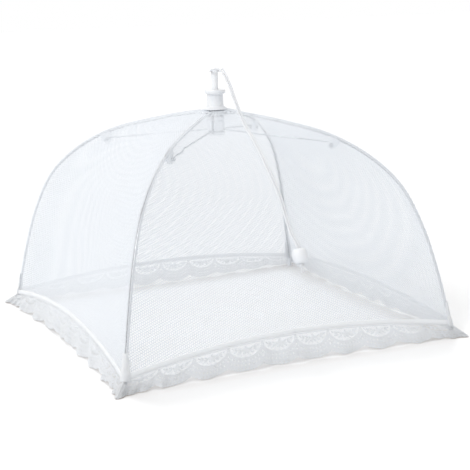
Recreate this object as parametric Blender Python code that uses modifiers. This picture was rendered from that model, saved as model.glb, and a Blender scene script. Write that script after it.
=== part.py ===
# A pop-up net food cover: four wire ribs and four stretchers on a toggle hub, a net canopy and a lace frill.
# Metres, +Z up. The origin is the middle of the square on the table that the cover stands over.

import math

import bmesh
import bpy
from mathutils import Matrix, Vector

# Where the ribs and the sides between them point, in degrees about Z
RIB_AZIMUTHS = {
    "front_left": 225.0,
    "front_right": 315.0,
    "back_right": 45.0,
    "back_left": 135.0,
}
SIDE_AZIMUTHS = {"front": 270.0, "right": 0.0, "back": 90.0, "left": 180.0}
RIB_TO_SIDE = math.radians(45.0)
# Two sides meet on a rib at a right angle, so a distance from their walls is this much longer on the ridge.
RIDGE = math.sqrt(2.0)

# Clearances: between pieces that touch, in the plunger's bore, of an eye on its ring, between two gores
SEAT_GAP = 0.0003
RUNNING_GAP = 0.0002
EYE_PLAY = 0.00025
SEAM_GAP = 0.0009
OVERRUN = 0.004
WELD = 0.000001

# Wires and their pivots
RIB_WIRE = 0.0018
STRETCHER_WIRE = 0.0016
RING_WIRE = 0.0010
PIVOT_RADIUS = 0.0068
RIB_PIVOT_HEIGHT = 0.2055
PIVOT_SPACING = 0.0150
RUNNER_PIVOT_HEIGHT = RIB_PIVOT_HEIGHT - PIVOT_SPACING

# The rib's curve, from above its eye to its end: shares of its reach and of its height
RIB_END_RADIUS = 0.232
RIB_END_HEIGHT = 0.003
RIB_SHAPE_SHARES = (
    (0.0, 1.0),
    (0.05, 1.004),
    (0.28, 0.962),
    (0.49, 0.901),
    (0.66, 0.803),
    (0.785, 0.678),
    (0.875, 0.495),
    (0.935, 0.3),
    (0.98, 0.107),
    (1.0, 0.0),
)
RIB_STATIONS = 24
SMOOTH_STEPS = 12
HALVINGS = 40
EYE_END_ANGLE = -20.0
EYE_STEP = 30.0

# Hub: plunger, collar and the two notches
TUBE_RADIUS = 0.0033
TUBE_PROUD = 0.0212
TUBE_DOME = 0.0016
EYELET_RADIUS = 0.0015
EYELET_DEPTH = 0.0036
EYELET_AZIMUTH = 4.0
NOTCH_RADIUS = 0.0086
NOTCH_CHAMFER = 0.0006
NOTCH_FLOOR = 0.00165
GROOVE_HEIGHT = 0.0017
COLLAR_HEIGHT = 0.0192
FLANGE_RADIUS = 0.0102
FLANGE_THICKNESS = 0.0040
FLANGE_ROUND = 0.0009
BARREL_RADIUS = 0.0081
BARREL_TAPER = 0.0003
FOOT_RADIUS = 0.0115
FOOT_RIM = 0.0009
FOOT_CONE = 0.0030
FOOT_CLEAR = 0.0010
SPIGOT_RADIUS = 0.0052
WASHER_RADIUS = 0.0098

# Clips under the ribs and the pins that the stretchers hook on
CLIP_PLACE_SHARE = 0.3385
CLIP_LENGTH = 0.0110
CLIP_THICKNESS = 0.0040
CLIP_LIP = 0.0004
CLIP_SHOULDER = 0.0036
CLIP_NOSE_RADIUS = 0.0042
PIN_DROP = 0.0070
PIN_RADIUS = 0.0010
PIN_HEAD_RADIUS = 0.0020
PIN_HEAD_THICKNESS = 0.0008
PIN_HEAD_ROUND = 0.0005
HOOK_END_ANGLE = -35.0
JOG_FROM_PIN = 0.034
JOG_LENGTH = 0.014

# Caps on the ribs' lower ends
TIP_RADIUS = 0.0021
TIP_LENGTH = 0.0070

# Cloth: seam tape, net gores, hem binding and lace
TAPE_WING = 0.0028
TAPE_THICKNESS = 0.0005
TAPE_START_SHARE = 0.08
TAPE_STATIONS = 20
NET_THICKNESS = 0.0005
NET_START_RADIUS = 0.0090
NET_DRAW_IN = 0.0100
NET_STATIONS = 16
NET_COLUMNS = 11
HEM_WIDTH = 0.0050
HEM_THICKNESS = 0.0014
HEM_CORNER_HEIGHT = 0.0100
HEM_DRAW_IN = 0.0060
HEM_RISE = 0.0150
HEM_COLUMNS = 21
LACE_THICKNESS = 0.0005
LACE_STATIONS = 4
LACE_OVERHANG = 0.0170
LACE_CORNER_RADIUS = RIB_END_RADIUS + LACE_OVERHANG
LACE_DRAW_IN = 0.0100
LACE_FLOOR_GAP = 0.0006
LACE_FANS = 10
LACE_FAN_STEPS = 6
LACE_FAN_DEPTH = 0.0040
LACE_GATHERS = 8
LACE_GATHER = 0.0030

# Pull cord, doubled through the eyelet, its bead and the knot under it
CORD_DIAMETER = 0.0018
BEAD_RADIUS = 0.0070
BEAD_LENGTH = 0.0130
BEAD_END_RADIUS = 0.0036
BEAD_FULLNESS_SHARE = 0.8
BEAD_MOUTH_RADIUS = 0.0025
BEAD_MOUTH_DEPTH = 0.0020
BEAD_BORE_RADIUS = 0.0012
KNOT_RADIUS = 0.0027
KNOT_LENGTH = 0.0042

# The cord's route from the middle of the eyelet to the bead: how far each strand lies to its side, then
# the point between the two strands. It rises from the eyelet, falls to the front gore and lies down it.
CORD_ROUTE = (
    (0.0000, (0.0000, 0.0000, 0.2485)),
    (0.0032, (0.0000, 0.0000, 0.2485)),
    (0.0055, (0.0001, -0.0018, 0.2489)),
    (0.0058, (0.0003, -0.0050, 0.2502)),
    (0.0043, (0.0005, -0.0086, 0.2516)),
    (0.0025, (0.0008, -0.0126, 0.2515)),
    (0.0014, (0.0012, -0.0174, 0.2488)),
    (0.0011, (0.0017, -0.0230, 0.2440)),
    (0.0011, (0.0022, -0.0284, 0.2380)),
    (0.0011, (0.0032, -0.0389, 0.2228)),
    (0.0011, (0.0040, -0.0502, 0.2085)),
    (0.0011, (0.0041, -0.0623, 0.1976)),
    (0.0011, (0.0032, -0.0740, 0.1918)),
    (0.0011, (0.0025, -0.0847, 0.1852)),
    (0.0011, (0.0025, -0.1036, 0.1691)),
    (0.0011, (0.0043, -0.1155, 0.1545)),
    (0.0011, (0.0060, -0.1226, 0.1432)),
    (0.0011, (0.0075, -0.1295, 0.1282)),
    (0.0011, (0.0086, -0.1344, 0.1171)),
    (0.0011, (0.0098, -0.1390, 0.1088)),
    (0.0011, (0.0110, -0.1432, 0.1041)),
    (0.0011, (0.0117, -0.1458, 0.1005)),
    (0.0011, (0.0118, -0.1466, 0.0978)),
)
CORD_STEP = 0.0064
CORD_BEND_STEP = 0.0026
CORD_BEND_ANGLE = 2.0

parts = bpy.data.collections.new("food_cover")
cutters = bpy.data.collections.new("cutters")


def clear_scene():
    for obj in list(bpy.data.objects):
        bpy.data.objects.remove(obj, do_unlink=True)
    bpy.context.scene.collection.children.link(parts)
    bpy.context.scene.collection.children.link(cutters)
    cutters.hide_render = True


def material(name, colour, roughness, metallic=0.0, alpha=1.0):
    made = bpy.data.materials.new(name)
    made.use_nodes = True
    shader = made.node_tree.nodes["Principled BSDF"]
    shader.inputs["Base Color"].default_value = (*colour, 1.0)
    shader.inputs["Roughness"].default_value = roughness
    shader.inputs["Metallic"].default_value = metallic
    shader.inputs["Alpha"].default_value = alpha
    return made


# Small helpers for making objects


def new_object(name, data, group=parts):
    obj = bpy.data.objects.new(name, data)
    group.objects.link(obj)
    return obj


def dress(obj, finish):
    obj.data.materials.clear()
    obj.data.materials.append(finish)
    return obj


def as_mesh(obj, keep_sharp=35.0):
    """Puts the object's evaluated mesh in its place, so that it can be cut or copied."""
    graph = bpy.context.evaluated_depsgraph_get()
    mesh = bpy.data.meshes.new_from_object(obj.evaluated_get(graph))
    mesh.transform(obj.matrix_world)
    welded = bmesh.new()
    welded.from_mesh(mesh)
    bmesh.ops.remove_doubles(welded, verts=welded.verts, dist=WELD)
    welded.to_mesh(mesh)
    welded.free()
    mesh.shade_smooth()
    mesh.set_sharp_from_angle(angle=math.radians(keep_sharp))
    name = obj.name
    group = obj.users_collection[0]
    bpy.data.objects.remove(obj, do_unlink=True)
    mesh.name = name
    return new_object(name, mesh, group)


def turned(name, profile, steps, closed=False, group=parts):
    """A profile of (radius, height) points turned about Z. It runs down its outer side."""
    mesh = bpy.data.meshes.new(name)
    points = [(radius, 0.0, height) for radius, height in profile]
    edges = [(i, i + 1) for i in range(len(points) - 1)]
    if closed:
        edges.append((len(points) - 1, 0))
    mesh.from_pydata(points, edges, [])
    obj = new_object(name, mesh, group)
    turn = obj.modifiers.new("turn", "SCREW")
    turn.steps = steps
    turn.render_steps = steps
    turn.use_merge_vertices = True
    turn.merge_threshold = WELD
    return obj


def wire(name, points, radius, group=parts, fineness=2):
    curve = bpy.data.curves.new(name, "CURVE")
    curve.dimensions = "3D"
    curve.bevel_depth = radius
    curve.bevel_resolution = fineness
    curve.use_fill_caps = True
    spline = curve.splines.new("POLY")
    spline.points.add(len(points) - 1)
    for place, point in zip(spline.points, points):
        place.co = (*point, 1.0)
    return new_object(name, curve, group)


def slab(name, outline, thickness):
    """A flat outline in the XZ plane, as thick along Y as it says."""
    curve = bpy.data.curves.new(name, "CURVE")
    curve.dimensions = "2D"
    curve.fill_mode = "BOTH"
    curve.extrude = thickness / 2
    spline = curve.splines.new("POLY")
    spline.use_cyclic_u = True
    spline.points.add(len(outline) - 1)
    for place, (along, up) in zip(spline.points, outline):
        place.co = (along, up, 0.0, 1.0)
    obj = new_object(name, curve)
    obj.rotation_euler.x = math.radians(90.0)
    bpy.context.view_layer.update()
    return as_mesh(obj)


def block(name, low, high):
    mesh = bpy.data.meshes.new(name)
    cube = bmesh.new()
    size = Vector(high) - Vector(low)
    middle = (Vector(high) + Vector(low)) / 2
    bmesh.ops.create_cube(
        cube, size=1.0, matrix=Matrix.Translation(middle) @ Matrix.Diagonal((*size, 1.0))
    )
    cube.to_mesh(mesh)
    cube.free()
    return new_object(name, mesh, cutters)


def rod(name, start, end, radius, sides=16):
    """A straight round cutter from start to end."""
    start = Vector(start)
    reach = Vector(end) - start
    mesh = bpy.data.meshes.new(name)
    bar = bmesh.new()
    place = Matrix.Translation(start + reach / 2) @ reach.to_track_quat("Z", "Y").to_matrix().to_4x4()
    bmesh.ops.create_cone(
        bar,
        cap_ends=True,
        segments=sides,
        radius1=radius,
        radius2=radius,
        depth=reach.length,
        matrix=place,
    )
    bar.to_mesh(mesh)
    bar.free()
    return new_object(name, mesh, cutters)


def cut(obj, *tools):
    for tool in tools:
        tool.display_type = "WIRE"
        tool.hide_render = True
        step = obj.modifiers.new("cut", "BOOLEAN")
        step.operation = "DIFFERENCE"
        step.solver = "EXACT"
        step.object = tool
    bpy.context.view_layer.update()
    return as_mesh(obj)


def sheet(name, rows, thickness):
    """An open surface through rows of points, thickened to both sides."""
    mesh = bpy.data.meshes.new(name)
    across = len(rows[0])
    points = [point for row in rows for point in row]
    faces = []
    for down in range(len(rows) - 1):
        for along in range(across - 1):
            corner = down * across + along
            faces.append((corner, corner + across, corner + across + 1, corner + 1))
    mesh.from_pydata(points, [], faces)
    obj = new_object(name, mesh)
    wall = obj.modifiers.new("wall", "SOLIDIFY")
    wall.thickness = thickness
    wall.offset = 0.0
    wall.use_even_offset = True
    return as_mesh(obj)


def spread(mould, azimuths, finish):
    """Copies a piece that was modelled at azimuth 0 to each place, and removes the original."""
    base = mould.name
    mesh = mould.data
    bpy.data.objects.remove(mould, do_unlink=True)
    copies = {}
    for place, azimuth in azimuths.items():
        copy = new_object(f"{base}_{place}", mesh)
        copy.rotation_euler.z = math.radians(azimuth)
        copies[place] = dress(copy, finish)
    return copies


# The rib's curve and the cloth's surface over it


def smooth(points, steps):
    """A smooth curve through the points (centripetal Catmull-Rom)."""
    points = [Vector(p) for p in points]
    held = [points[0] * 2 - points[1], *points, points[-1] * 2 - points[-2]]
    made = []
    for a, b, c, d in zip(held, held[1:], held[2:], held[3:]):
        ta = 0.0
        tb = ta + math.sqrt((b - a).length)
        tc = tb + math.sqrt((c - b).length)
        td = tc + math.sqrt((d - c).length)
        for step in range(steps):
            t = tb + (tc - tb) * step / steps
            ab = a * ((tb - t) / (tb - ta)) + b * ((t - ta) / (tb - ta))
            bc = b * ((tc - t) / (tc - tb)) + c * ((t - tb) / (tc - tb))
            cd = c * ((td - t) / (td - tc)) + d * ((t - tc) / (td - tc))
            abc = ab * ((tc - t) / (tc - ta)) + bc * ((t - ta) / (tc - ta))
            bcd = bc * ((td - t) / (td - tb)) + cd * ((t - tb) / (td - tb))
            made.append(abc * ((tc - t) / (tc - tb)) + bcd * ((t - tb) / (tc - tb)))
    made.append(points[-1])
    return made


def eye_radius(wire_size):
    return RING_WIRE / 2 + EYE_PLAY + wire_size / 2


def eye_reach(wire_size):
    return eye_radius(wire_size) + wire_size / 2


RIB_START_HEIGHT = RIB_PIVOT_HEIGHT + eye_radius(RIB_WIRE)
RIB_CURVE = smooth(
    [
        (
            PIVOT_RADIUS + (RIB_END_RADIUS - PIVOT_RADIUS) * out,
            RIB_END_HEIGHT + (RIB_START_HEIGHT - RIB_END_HEIGHT) * up,
        )
        for out, up in RIB_SHAPE_SHARES
    ],
    SMOOTH_STEPS,
)
RIB_RUN = [0.0]
for before, after in zip(RIB_CURVE, RIB_CURVE[1:]):
    RIB_RUN.append(RIB_RUN[-1] + (after - before).length)
RIB_LENGTH = RIB_RUN[-1]


def rib_point(share, offset=0.0):
    """(radius, height) at a share of the rib's length, moved outwards from it by the offset."""
    run = min(max(share, 0.0), 1.0) * RIB_LENGTH
    span = max(i for i in range(len(RIB_RUN) - 1) if RIB_RUN[i] <= run)
    part = (run - RIB_RUN[span]) / (RIB_RUN[span + 1] - RIB_RUN[span])
    place = RIB_CURVE[span].lerp(RIB_CURVE[span + 1], part)
    last = len(RIB_CURVE) - 1
    here = (RIB_CURVE[min(span + 1, last)] - RIB_CURVE[span]).normalized()
    behind = (RIB_CURVE[span] - RIB_CURVE[span - 1]).normalized() if span else here
    ahead = (RIB_CURVE[span + 2] - RIB_CURVE[span + 1]).normalized() if span + 2 <= last else here
    along = (behind + here).lerp(here + ahead, part).normalized()
    return place + Vector((-along.y, along.x)) * offset, along


def share_from(reached):
    """The share of the rib's length from which on reached(share) holds."""
    before = 0.0
    after = 1.0
    for _ in range(HALVINGS):
        middle = (before + after) / 2
        if reached(middle):
            after = middle
        else:
            before = middle
    return after


TAPE_OFFSET = RIDGE * (RIB_WIRE / 2 + SEAT_GAP + TAPE_THICKNESS / 2)
NET_OFFSET = RIDGE * (RIB_WIRE / 2 + SEAT_GAP + TAPE_THICKNESS + SEAT_GAP + NET_THICKNESS / 2)
HEM_END_SHARE = share_from(lambda share: rib_point(share)[0].y <= HEM_CORNER_HEIGHT)
HEM_START_SHARE = HEM_END_SHARE - HEM_WIDTH / RIB_LENGTH
NET_END_SHARE = HEM_START_SHARE - SEAT_GAP / RIB_LENGTH
LACE_START_SHARE = HEM_END_SHARE + SEAT_GAP / RIB_LENGTH


def cover_point(share, across, offset, seam=0.0):
    """A point of the side at azimuth 0. across runs from -1 on one rib to 1 on the other."""
    (radius, height), _ = rib_point(share, offset)
    down = share / HEM_END_SHARE
    sag = 1.0 - across * across
    draw_in = HEM_DRAW_IN * down**2 + NET_DRAW_IN * 4 * down * (1 - down)
    out = radius / RIDGE - max(draw_in, 0.0) * sag
    return Vector((out, across * (radius / RIDGE - seam), height + HEM_RISE * down**4 * sag))


NET_START_SHARE = share_from(lambda share: rib_point(share, NET_OFFSET)[0].x >= NET_START_RADIUS)
FOOT_END_SHARE = share_from(lambda share: cover_point(share, 0.0, NET_OFFSET).x >= FOOT_RADIUS + FOOT_CLEAR)


def spaced(start, end, count):
    return [start + (end - start) * i / (count - 1) for i in range(count)]


# Frame


def make_rib():
    """Modelled at azimuth 0: the eye goes under and round its ring, and leaves over the top."""
    radius = eye_radius(RIB_WIRE)
    points = []
    angle = EYE_END_ANGLE
    while angle > -270.0 + EYE_STEP / 2:
        turn = math.radians(angle)
        points.append(
            (
                PIVOT_RADIUS + radius * math.cos(turn),
                0.0,
                RIB_PIVOT_HEIGHT + radius * math.sin(turn),
            )
        )
        angle -= EYE_STEP
    for share in spaced(0.0, 1.0, RIB_STATIONS):
        place, _ = rib_point(share)
        points.append((place.x, 0.0, place.y))
    return points


def pin_centre():
    place, along = rib_point(CLIP_PLACE_SHARE)
    inward = Vector((along.y, -along.x))
    return place + inward * PIN_DROP, along


def make_clip(rib_route):
    """A tab that snaps on the rib from below, with a rounded nose round the pin."""
    pin, along = pin_centre()
    place, _ = rib_point(CLIP_PLACE_SHARE)
    outward = Vector((-along.y, along.x))
    half = CLIP_LENGTH / 2
    outline = [(-half, CLIP_LIP), (half, CLIP_LIP), (half, -CLIP_SHOULDER)]
    for angle in spaced(0.0, -180.0, 9):
        turn = math.radians(angle)
        outline.append(
            (CLIP_NOSE_RADIUS * math.cos(turn), -PIN_DROP + CLIP_NOSE_RADIUS * math.sin(turn))
        )
    outline.append((-half, -CLIP_SHOULDER))
    laid = [place + along * x + outward * y for x, y in outline]
    laid.reverse()
    clip = slab("rib_clip", [(p.x, p.y) for p in laid], CLIP_THICKNESS)
    groove = as_mesh(wire("clip_groove", rib_route, RIB_WIRE / 2 + SEAT_GAP, cutters))
    hole = rod(
        "clip_hole",
        (pin.x, -CLIP_THICKNESS, pin.y),
        (pin.x, CLIP_THICKNESS, pin.y),
        PIN_RADIUS + SEAT_GAP,
    )
    return cut(clip, groove, hole)


def make_rivet():
    """The stretcher's pin: a shaft through the clip with a head at each end, along Y."""
    pin, _ = pin_centre()
    near = CLIP_THICKNESS / 2 + SEAT_GAP
    far = near + STRETCHER_WIRE + SEAT_GAP
    profile = [
        (0.0, far + PIN_HEAD_THICKNESS),
        (PIN_HEAD_RADIUS - PIN_HEAD_ROUND, far + PIN_HEAD_THICKNESS),
        (PIN_HEAD_RADIUS, far + PIN_HEAD_THICKNESS - PIN_HEAD_ROUND),
        (PIN_HEAD_RADIUS, far),
        (PIN_RADIUS, far),
        (PIN_RADIUS, -near),
        (PIN_HEAD_RADIUS, -near),
        (PIN_HEAD_RADIUS, -near - PIN_HEAD_THICKNESS),
        (0.0, -near - PIN_HEAD_THICKNESS),
    ]
    rivet = turned("clip_rivet", profile, 14)
    rivet.rotation_euler.x = math.radians(-90.0)
    rivet.location = (pin.x, 0.0, pin.y)
    bpy.context.view_layer.update()
    return as_mesh(rivet)


def make_tip(rib_route):
    """A cap on the rib's end, in line with it, cut flat where it stands on the table."""
    end, along = rib_point(1.0)
    low = end + along * (end.y + OVERRUN)
    high = end - along * TIP_LENGTH
    cap = rod("rib_tip", (low.x, 0.0, low.y), (high.x, 0.0, high.y), TIP_RADIUS, 12)
    cutters.objects.unlink(cap)
    parts.objects.link(cap)
    floor = block(
        "tip_floor",
        (end.x - OVERRUN * 2, -OVERRUN, -OVERRUN * 3),
        (end.x + OVERRUN * 2, OVERRUN, 0.0),
    )
    ending = Vector((end.x, 0.0, end.y)) + Vector((along.x, 0.0, along.y)) * SEAT_GAP
    bore = as_mesh(
        wire("tip_bore", [*rib_route[:-1], tuple(ending)], RIB_WIRE / 2 + SEAT_GAP, cutters)
    )
    return cut(cap, floor, bore)


def make_stretcher():
    """Modelled at azimuth 0: an eye on the runner's ring, a straight wire with a jog, a hook over the pin."""
    pin, _ = pin_centre()
    start = Vector((PIVOT_RADIUS, RUNNER_PIVOT_HEIGHT))
    along = (pin - start).normalized()
    above = Vector((-along.y, along.x))
    reach = (pin - start).length
    eye = eye_radius(STRETCHER_WIRE)
    hook = PIN_RADIUS + EYE_PLAY + STRETCHER_WIRE / 2
    side = CLIP_THICKNESS / 2 + SEAT_GAP + STRETCHER_WIRE / 2
    points = []
    angle = EYE_END_ANGLE
    while angle > -270.0 - EYE_STEP / 2:
        turn = math.radians(angle)
        place = start + along * (eye * math.cos(turn)) + above * (eye * math.sin(turn))
        points.append((place.x, 0.0, place.y))
        angle -= EYE_STEP
    for step in spaced(0.0, 1.0, 5):
        run = reach - JOG_FROM_PIN + JOG_LENGTH * step
        place = start + along * run + above * (eye + (hook - eye) * run / reach)
        points.append((place.x, side * (1 - math.cos(math.pi * step)) / 2, place.y))
    for angle in spaced(90.0, HOOK_END_ANGLE, 6):
        turn = math.radians(angle)
        place = pin + along * (hook * math.cos(turn)) + above * (hook * math.sin(turn))
        points.append((place.x, side, place.y))
    return as_mesh(wire("stretcher", points, STRETCHER_WIRE / 2))


def make_ring(name, height, finish):
    bpy.ops.mesh.primitive_torus_add(
        major_radius=PIVOT_RADIUS,
        minor_radius=RING_WIRE / 2,
        major_segments=24,
        minor_segments=6,
        location=(0.0, 0.0, height),
    )
    ring = bpy.context.object
    ring.name = name
    ring.data.shade_smooth()
    for group in list(ring.users_collection):
        group.objects.unlink(ring)
    parts.objects.link(ring)
    return dress(ring, finish)


# Hub


def net_heights():
    """The lowest and highest faces of the gores over the collar's foot."""
    heights = [
        cover_point(share, across, NET_OFFSET).z
        for share in spaced(NET_START_SHARE, FOOT_END_SHARE, NET_STATIONS)
        for across in (0.0, 1.0)
    ]
    return min(heights) - NET_THICKNESS / 2, max(heights) + NET_THICKNESS / 2


def slots(name, wire_size, pivot_height, top):
    """Four cutters for the wires' eyes, open to the rim and to the top."""
    half = wire_size / 2 + SEAT_GAP
    reach = eye_reach(wire_size) + SEAT_GAP
    made = []
    for place, azimuth in RIB_AZIMUTHS.items():
        tool = block(
            f"{name}_{place}",
            (PIVOT_RADIUS - reach, -half, pivot_height - reach),
            (NOTCH_RADIUS + OVERRUN, half, top + OVERRUN),
        )
        tool.rotation_euler.z = math.radians(azimuth)
        made.append(tool)
    return made


def notch_profile(bore, bottom, top, pivot_height):
    """The rim has a groove round it, in which the ring lies."""
    groove = PIVOT_RADIUS - RING_WIRE / 2 - SEAT_GAP
    return [
        (bore, top),
        (NOTCH_RADIUS - NOTCH_CHAMFER, top),
        (NOTCH_RADIUS, top - NOTCH_CHAMFER),
        (NOTCH_RADIUS, pivot_height + GROOVE_HEIGHT / 2),
        (groove, pivot_height + GROOVE_HEIGHT / 2),
        (groove, pivot_height - GROOVE_HEIGHT / 2),
        (NOTCH_RADIUS, pivot_height - GROOVE_HEIGHT / 2),
        (NOTCH_RADIUS, bottom + NOTCH_CHAMFER),
        (NOTCH_RADIUS - NOTCH_CHAMFER, bottom),
        (bore, bottom),
    ]


def make_hub(plastic, steel):
    bore = TUBE_RADIUS + RUNNING_GAP
    notch_top = RIB_PIVOT_HEIGHT + eye_reach(RIB_WIRE) + SEAT_GAP
    notch_bottom = RIB_PIVOT_HEIGHT - eye_reach(RIB_WIRE) - SEAT_GAP - NOTCH_FLOOR
    notch = turned(
        "rib_notch", notch_profile(bore, notch_bottom, notch_top, RIB_PIVOT_HEIGHT), 28, True
    )
    notch = cut(notch, *slots("rib_slot", RIB_WIRE, RIB_PIVOT_HEIGHT, notch_top))

    net_low, net_high = net_heights()
    washer = turned(
        "fabric_washer",
        [
            (SPIGOT_RADIUS + SEAT_GAP, net_low - SEAT_GAP),
            (WASHER_RADIUS, net_low - SEAT_GAP),
            (WASHER_RADIUS, notch_top + SEAT_GAP),
            (SPIGOT_RADIUS + SEAT_GAP, notch_top + SEAT_GAP),
        ],
        28,
        True,
    )

    foot = net_high + SEAT_GAP
    flange_top = foot + COLLAR_HEIGHT
    flange = flange_top - FLANGE_THICKNESS
    collar = turned(
        "crown_collar",
        [
            (bore, flange_top),
            (FLANGE_RADIUS - FLANGE_ROUND, flange_top),
            (FLANGE_RADIUS, flange_top - FLANGE_ROUND),
            (FLANGE_RADIUS, flange + FLANGE_ROUND),
            (FLANGE_RADIUS - FLANGE_ROUND, flange),
            (BARREL_RADIUS - BARREL_TAPER, flange - FLANGE_ROUND),
            (BARREL_RADIUS, foot + FOOT_CONE),
            (FOOT_RADIUS, foot + FOOT_RIM),
            (FOOT_RADIUS, foot),
            (SPIGOT_RADIUS, foot),
            (SPIGOT_RADIUS, notch_top + SEAT_GAP),
            (bore, notch_top + SEAT_GAP),
        ],
        28,
        True,
    )

    runner_top = notch_bottom - SEAT_GAP
    runner_bottom = RUNNER_PIVOT_HEIGHT - eye_reach(STRETCHER_WIRE) - SEAT_GAP - NOTCH_FLOOR
    seat = runner_bottom + NOTCH_FLOOR
    cup = notch_profile(TUBE_RADIUS + SEAT_GAP, runner_bottom, runner_top, RUNNER_PIVOT_HEIGHT)
    cup = [*cup[:-1], (0.0, runner_bottom), (0.0, seat), (TUBE_RADIUS + SEAT_GAP, seat)]
    runner = turned("runner_notch", [*cup[-2:], *cup[:-2]], 28)
    runner = cut(runner, *slots("runner_slot", STRETCHER_WIRE, RUNNER_PIVOT_HEIGHT, runner_top))

    tube_top = flange_top + TUBE_PROUD
    dome = [
        (
            TUBE_RADIUS * math.cos(math.radians(angle)),
            tube_top - TUBE_DOME * (1 - math.sin(math.radians(angle))),
        )
        for angle in (90.0, 60.0, 30.0, 0.0)
    ]
    dome[0] = (0.0, tube_top)
    tube = turned(
        "runner_tube", [*dome, (TUBE_RADIUS, seat + SEAT_GAP), (0.0, seat + SEAT_GAP)], 20
    )
    turn = math.radians(EYELET_AZIMUTH)
    reach = Vector((math.cos(turn), math.sin(turn), 0.0)) * TUBE_RADIUS * 2
    eyelet = Vector((0.0, 0.0, tube_top - EYELET_DEPTH))
    tube = cut(tube, rod("eyelet", eyelet - reach, eyelet + reach, EYELET_RADIUS))

    for piece in (notch, washer, collar, runner, tube):
        dress(piece, plastic)
    return {
        "crown": [collar, washer, notch, make_ring("rib_ring_wire", RIB_PIVOT_HEIGHT, steel)],
        "runner": [tube, runner, make_ring("stretcher_ring_wire", RUNNER_PIVOT_HEIGHT, steel)],
    }


# Cloth


def make_tape():
    """Modelled at the rib at azimuth 0: one wing down each side, under the gores' edges."""
    before = Matrix.Rotation(-RIB_TO_SIDE, 3, "Z")
    after = Matrix.Rotation(RIB_TO_SIDE, 3, "Z")
    rows = []
    for share in spaced(TAPE_START_SHARE, NET_END_SHARE, TAPE_STATIONS):
        half = rib_point(share, TAPE_OFFSET)[0].x / RIDGE
        wing = 1 - TAPE_WING / half
        rows.append(
            [
                before @ cover_point(share, wing, TAPE_OFFSET),
                before @ cover_point(share, 1.0, TAPE_OFFSET),
                after @ cover_point(share, -wing, TAPE_OFFSET),
            ]
        )
    return sheet("seam_tape", rows, TAPE_THICKNESS)


def make_gore():
    rows = [
        [cover_point(share, across, NET_OFFSET, SEAM_GAP) for across in spaced(-1.0, 1.0, NET_COLUMNS)]
        for share in spaced(NET_START_SHARE, NET_END_SHARE, NET_STATIONS)
    ]
    return sheet("mesh_gore", rows, NET_THICKNESS)


def make_hem():
    rows = [
        [cover_point(share, across, NET_OFFSET, SEAM_GAP) for across in spaced(-1.0, 1.0, HEM_COLUMNS)]
        for share in (HEM_START_SHARE, HEM_END_SHARE)
    ]
    return sheet("hem_binding", rows, HEM_THICKNESS)


def make_lace():
    """A gathered frill from the hem to the table, with a scalloped lower edge."""
    columns = LACE_FANS * LACE_FAN_STEPS
    foot_half = LACE_CORNER_RADIUS / RIDGE
    rows = []
    for fall in spaced(0.0, 1.0, LACE_STATIONS):
        row = []
        for across in spaced(-1.0, 1.0, columns + 1):
            top = cover_point(LACE_START_SHARE, across, NET_OFFSET, SEAM_GAP)
            fan = math.pi * LACE_FANS * (across + 1) / 2
            foot = Vector(
                (
                    foot_half - LACE_DRAW_IN * (1 - across * across),
                    across * (foot_half - SEAM_GAP),
                    LACE_FLOOR_GAP + LACE_FAN_DEPTH * (1 - abs(math.sin(fan))),
                )
            )
            point = top.lerp(foot, fall)
            gather = math.sin(math.pi * LACE_GATHERS * (across + 1) / 2) ** 2
            point.x -= LACE_GATHER * fall * gather
            row.append(point)
        rows.append(row)
    return sheet("lace_trim", rows, LACE_THICKNESS)


# Pull cord


def strand(side):
    """One strand's points from the eyelet to the bead, on the side that its sign says."""
    turn = math.radians(EYELET_AZIMUTH)
    aside = Vector((math.cos(turn), math.sin(turn), 0.0)) * side
    fine = smooth([Vector(middle) + aside * away for away, middle in CORD_ROUTE], SMOOTH_STEPS)
    points = [fine[0]]
    for before, place, after in zip(fine, fine[1:], fine[2:]):
        bent = (place - before).angle(after - place) > math.radians(CORD_BEND_ANGLE)
        if (place - points[-1]).length >= (CORD_BEND_STEP if bent else CORD_STEP):
            points.append(place)
    if (fine[-1] - points[-1]).length < CORD_BEND_STEP:
        points.pop()
    points.append(fine[-1])
    return points


def make_cord(left, right):
    """One cord: up one strand, through the eyelet and down the other."""
    points = [*left[:0:-1], *right]
    length = sum((after - before).length for before, after in zip(points, points[1:]))
    print(f"pull cord: {len(points)} points, {length * 1000:.1f} mm in all")
    return as_mesh(wire("pull_cord", points, CORD_DIAMETER / 2))


def make_bead():
    """Modelled about Z: a rounded bead with a mouth for both strands and a bore down to the knot."""
    half = BEAD_LENGTH / 2
    profile = [(BEAD_MOUTH_RADIUS, half)]
    for angle in spaced(90.0, -90.0, 13):
        turn = math.radians(angle)
        out = BEAD_END_RADIUS + (BEAD_RADIUS - BEAD_END_RADIUS) * math.cos(turn) ** BEAD_FULLNESS_SHARE
        profile.append((out, half * math.sin(turn)))
    profile.append((BEAD_BORE_RADIUS, -half))
    profile.append((BEAD_BORE_RADIUS, half - BEAD_MOUTH_DEPTH))
    profile.append((BEAD_MOUTH_RADIUS, half - BEAD_MOUTH_DEPTH))
    return turned("cord_bead", profile, 20, True)


def make_knot():
    half = KNOT_LENGTH / 2
    profile = []
    for angle in spaced(90.0, -90.0, 7):
        turn = math.radians(angle)
        profile.append((KNOT_RADIUS * abs(math.cos(turn)), half * math.sin(turn)))
    profile[0] = (0.0, half)
    profile[-1] = (0.0, -half)
    return turned("cord_knot", profile, 12)


def hang_on_cord(piece, middle, along):
    """Sets a piece that was modelled about Z in line with the cord, its top towards the eyelet."""
    lean = (-along).to_track_quat("Z", "Y").to_matrix().to_4x4()
    piece.matrix_world = Matrix.Translation(middle) @ lean
    bpy.context.view_layer.update()
    return as_mesh(piece)


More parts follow.
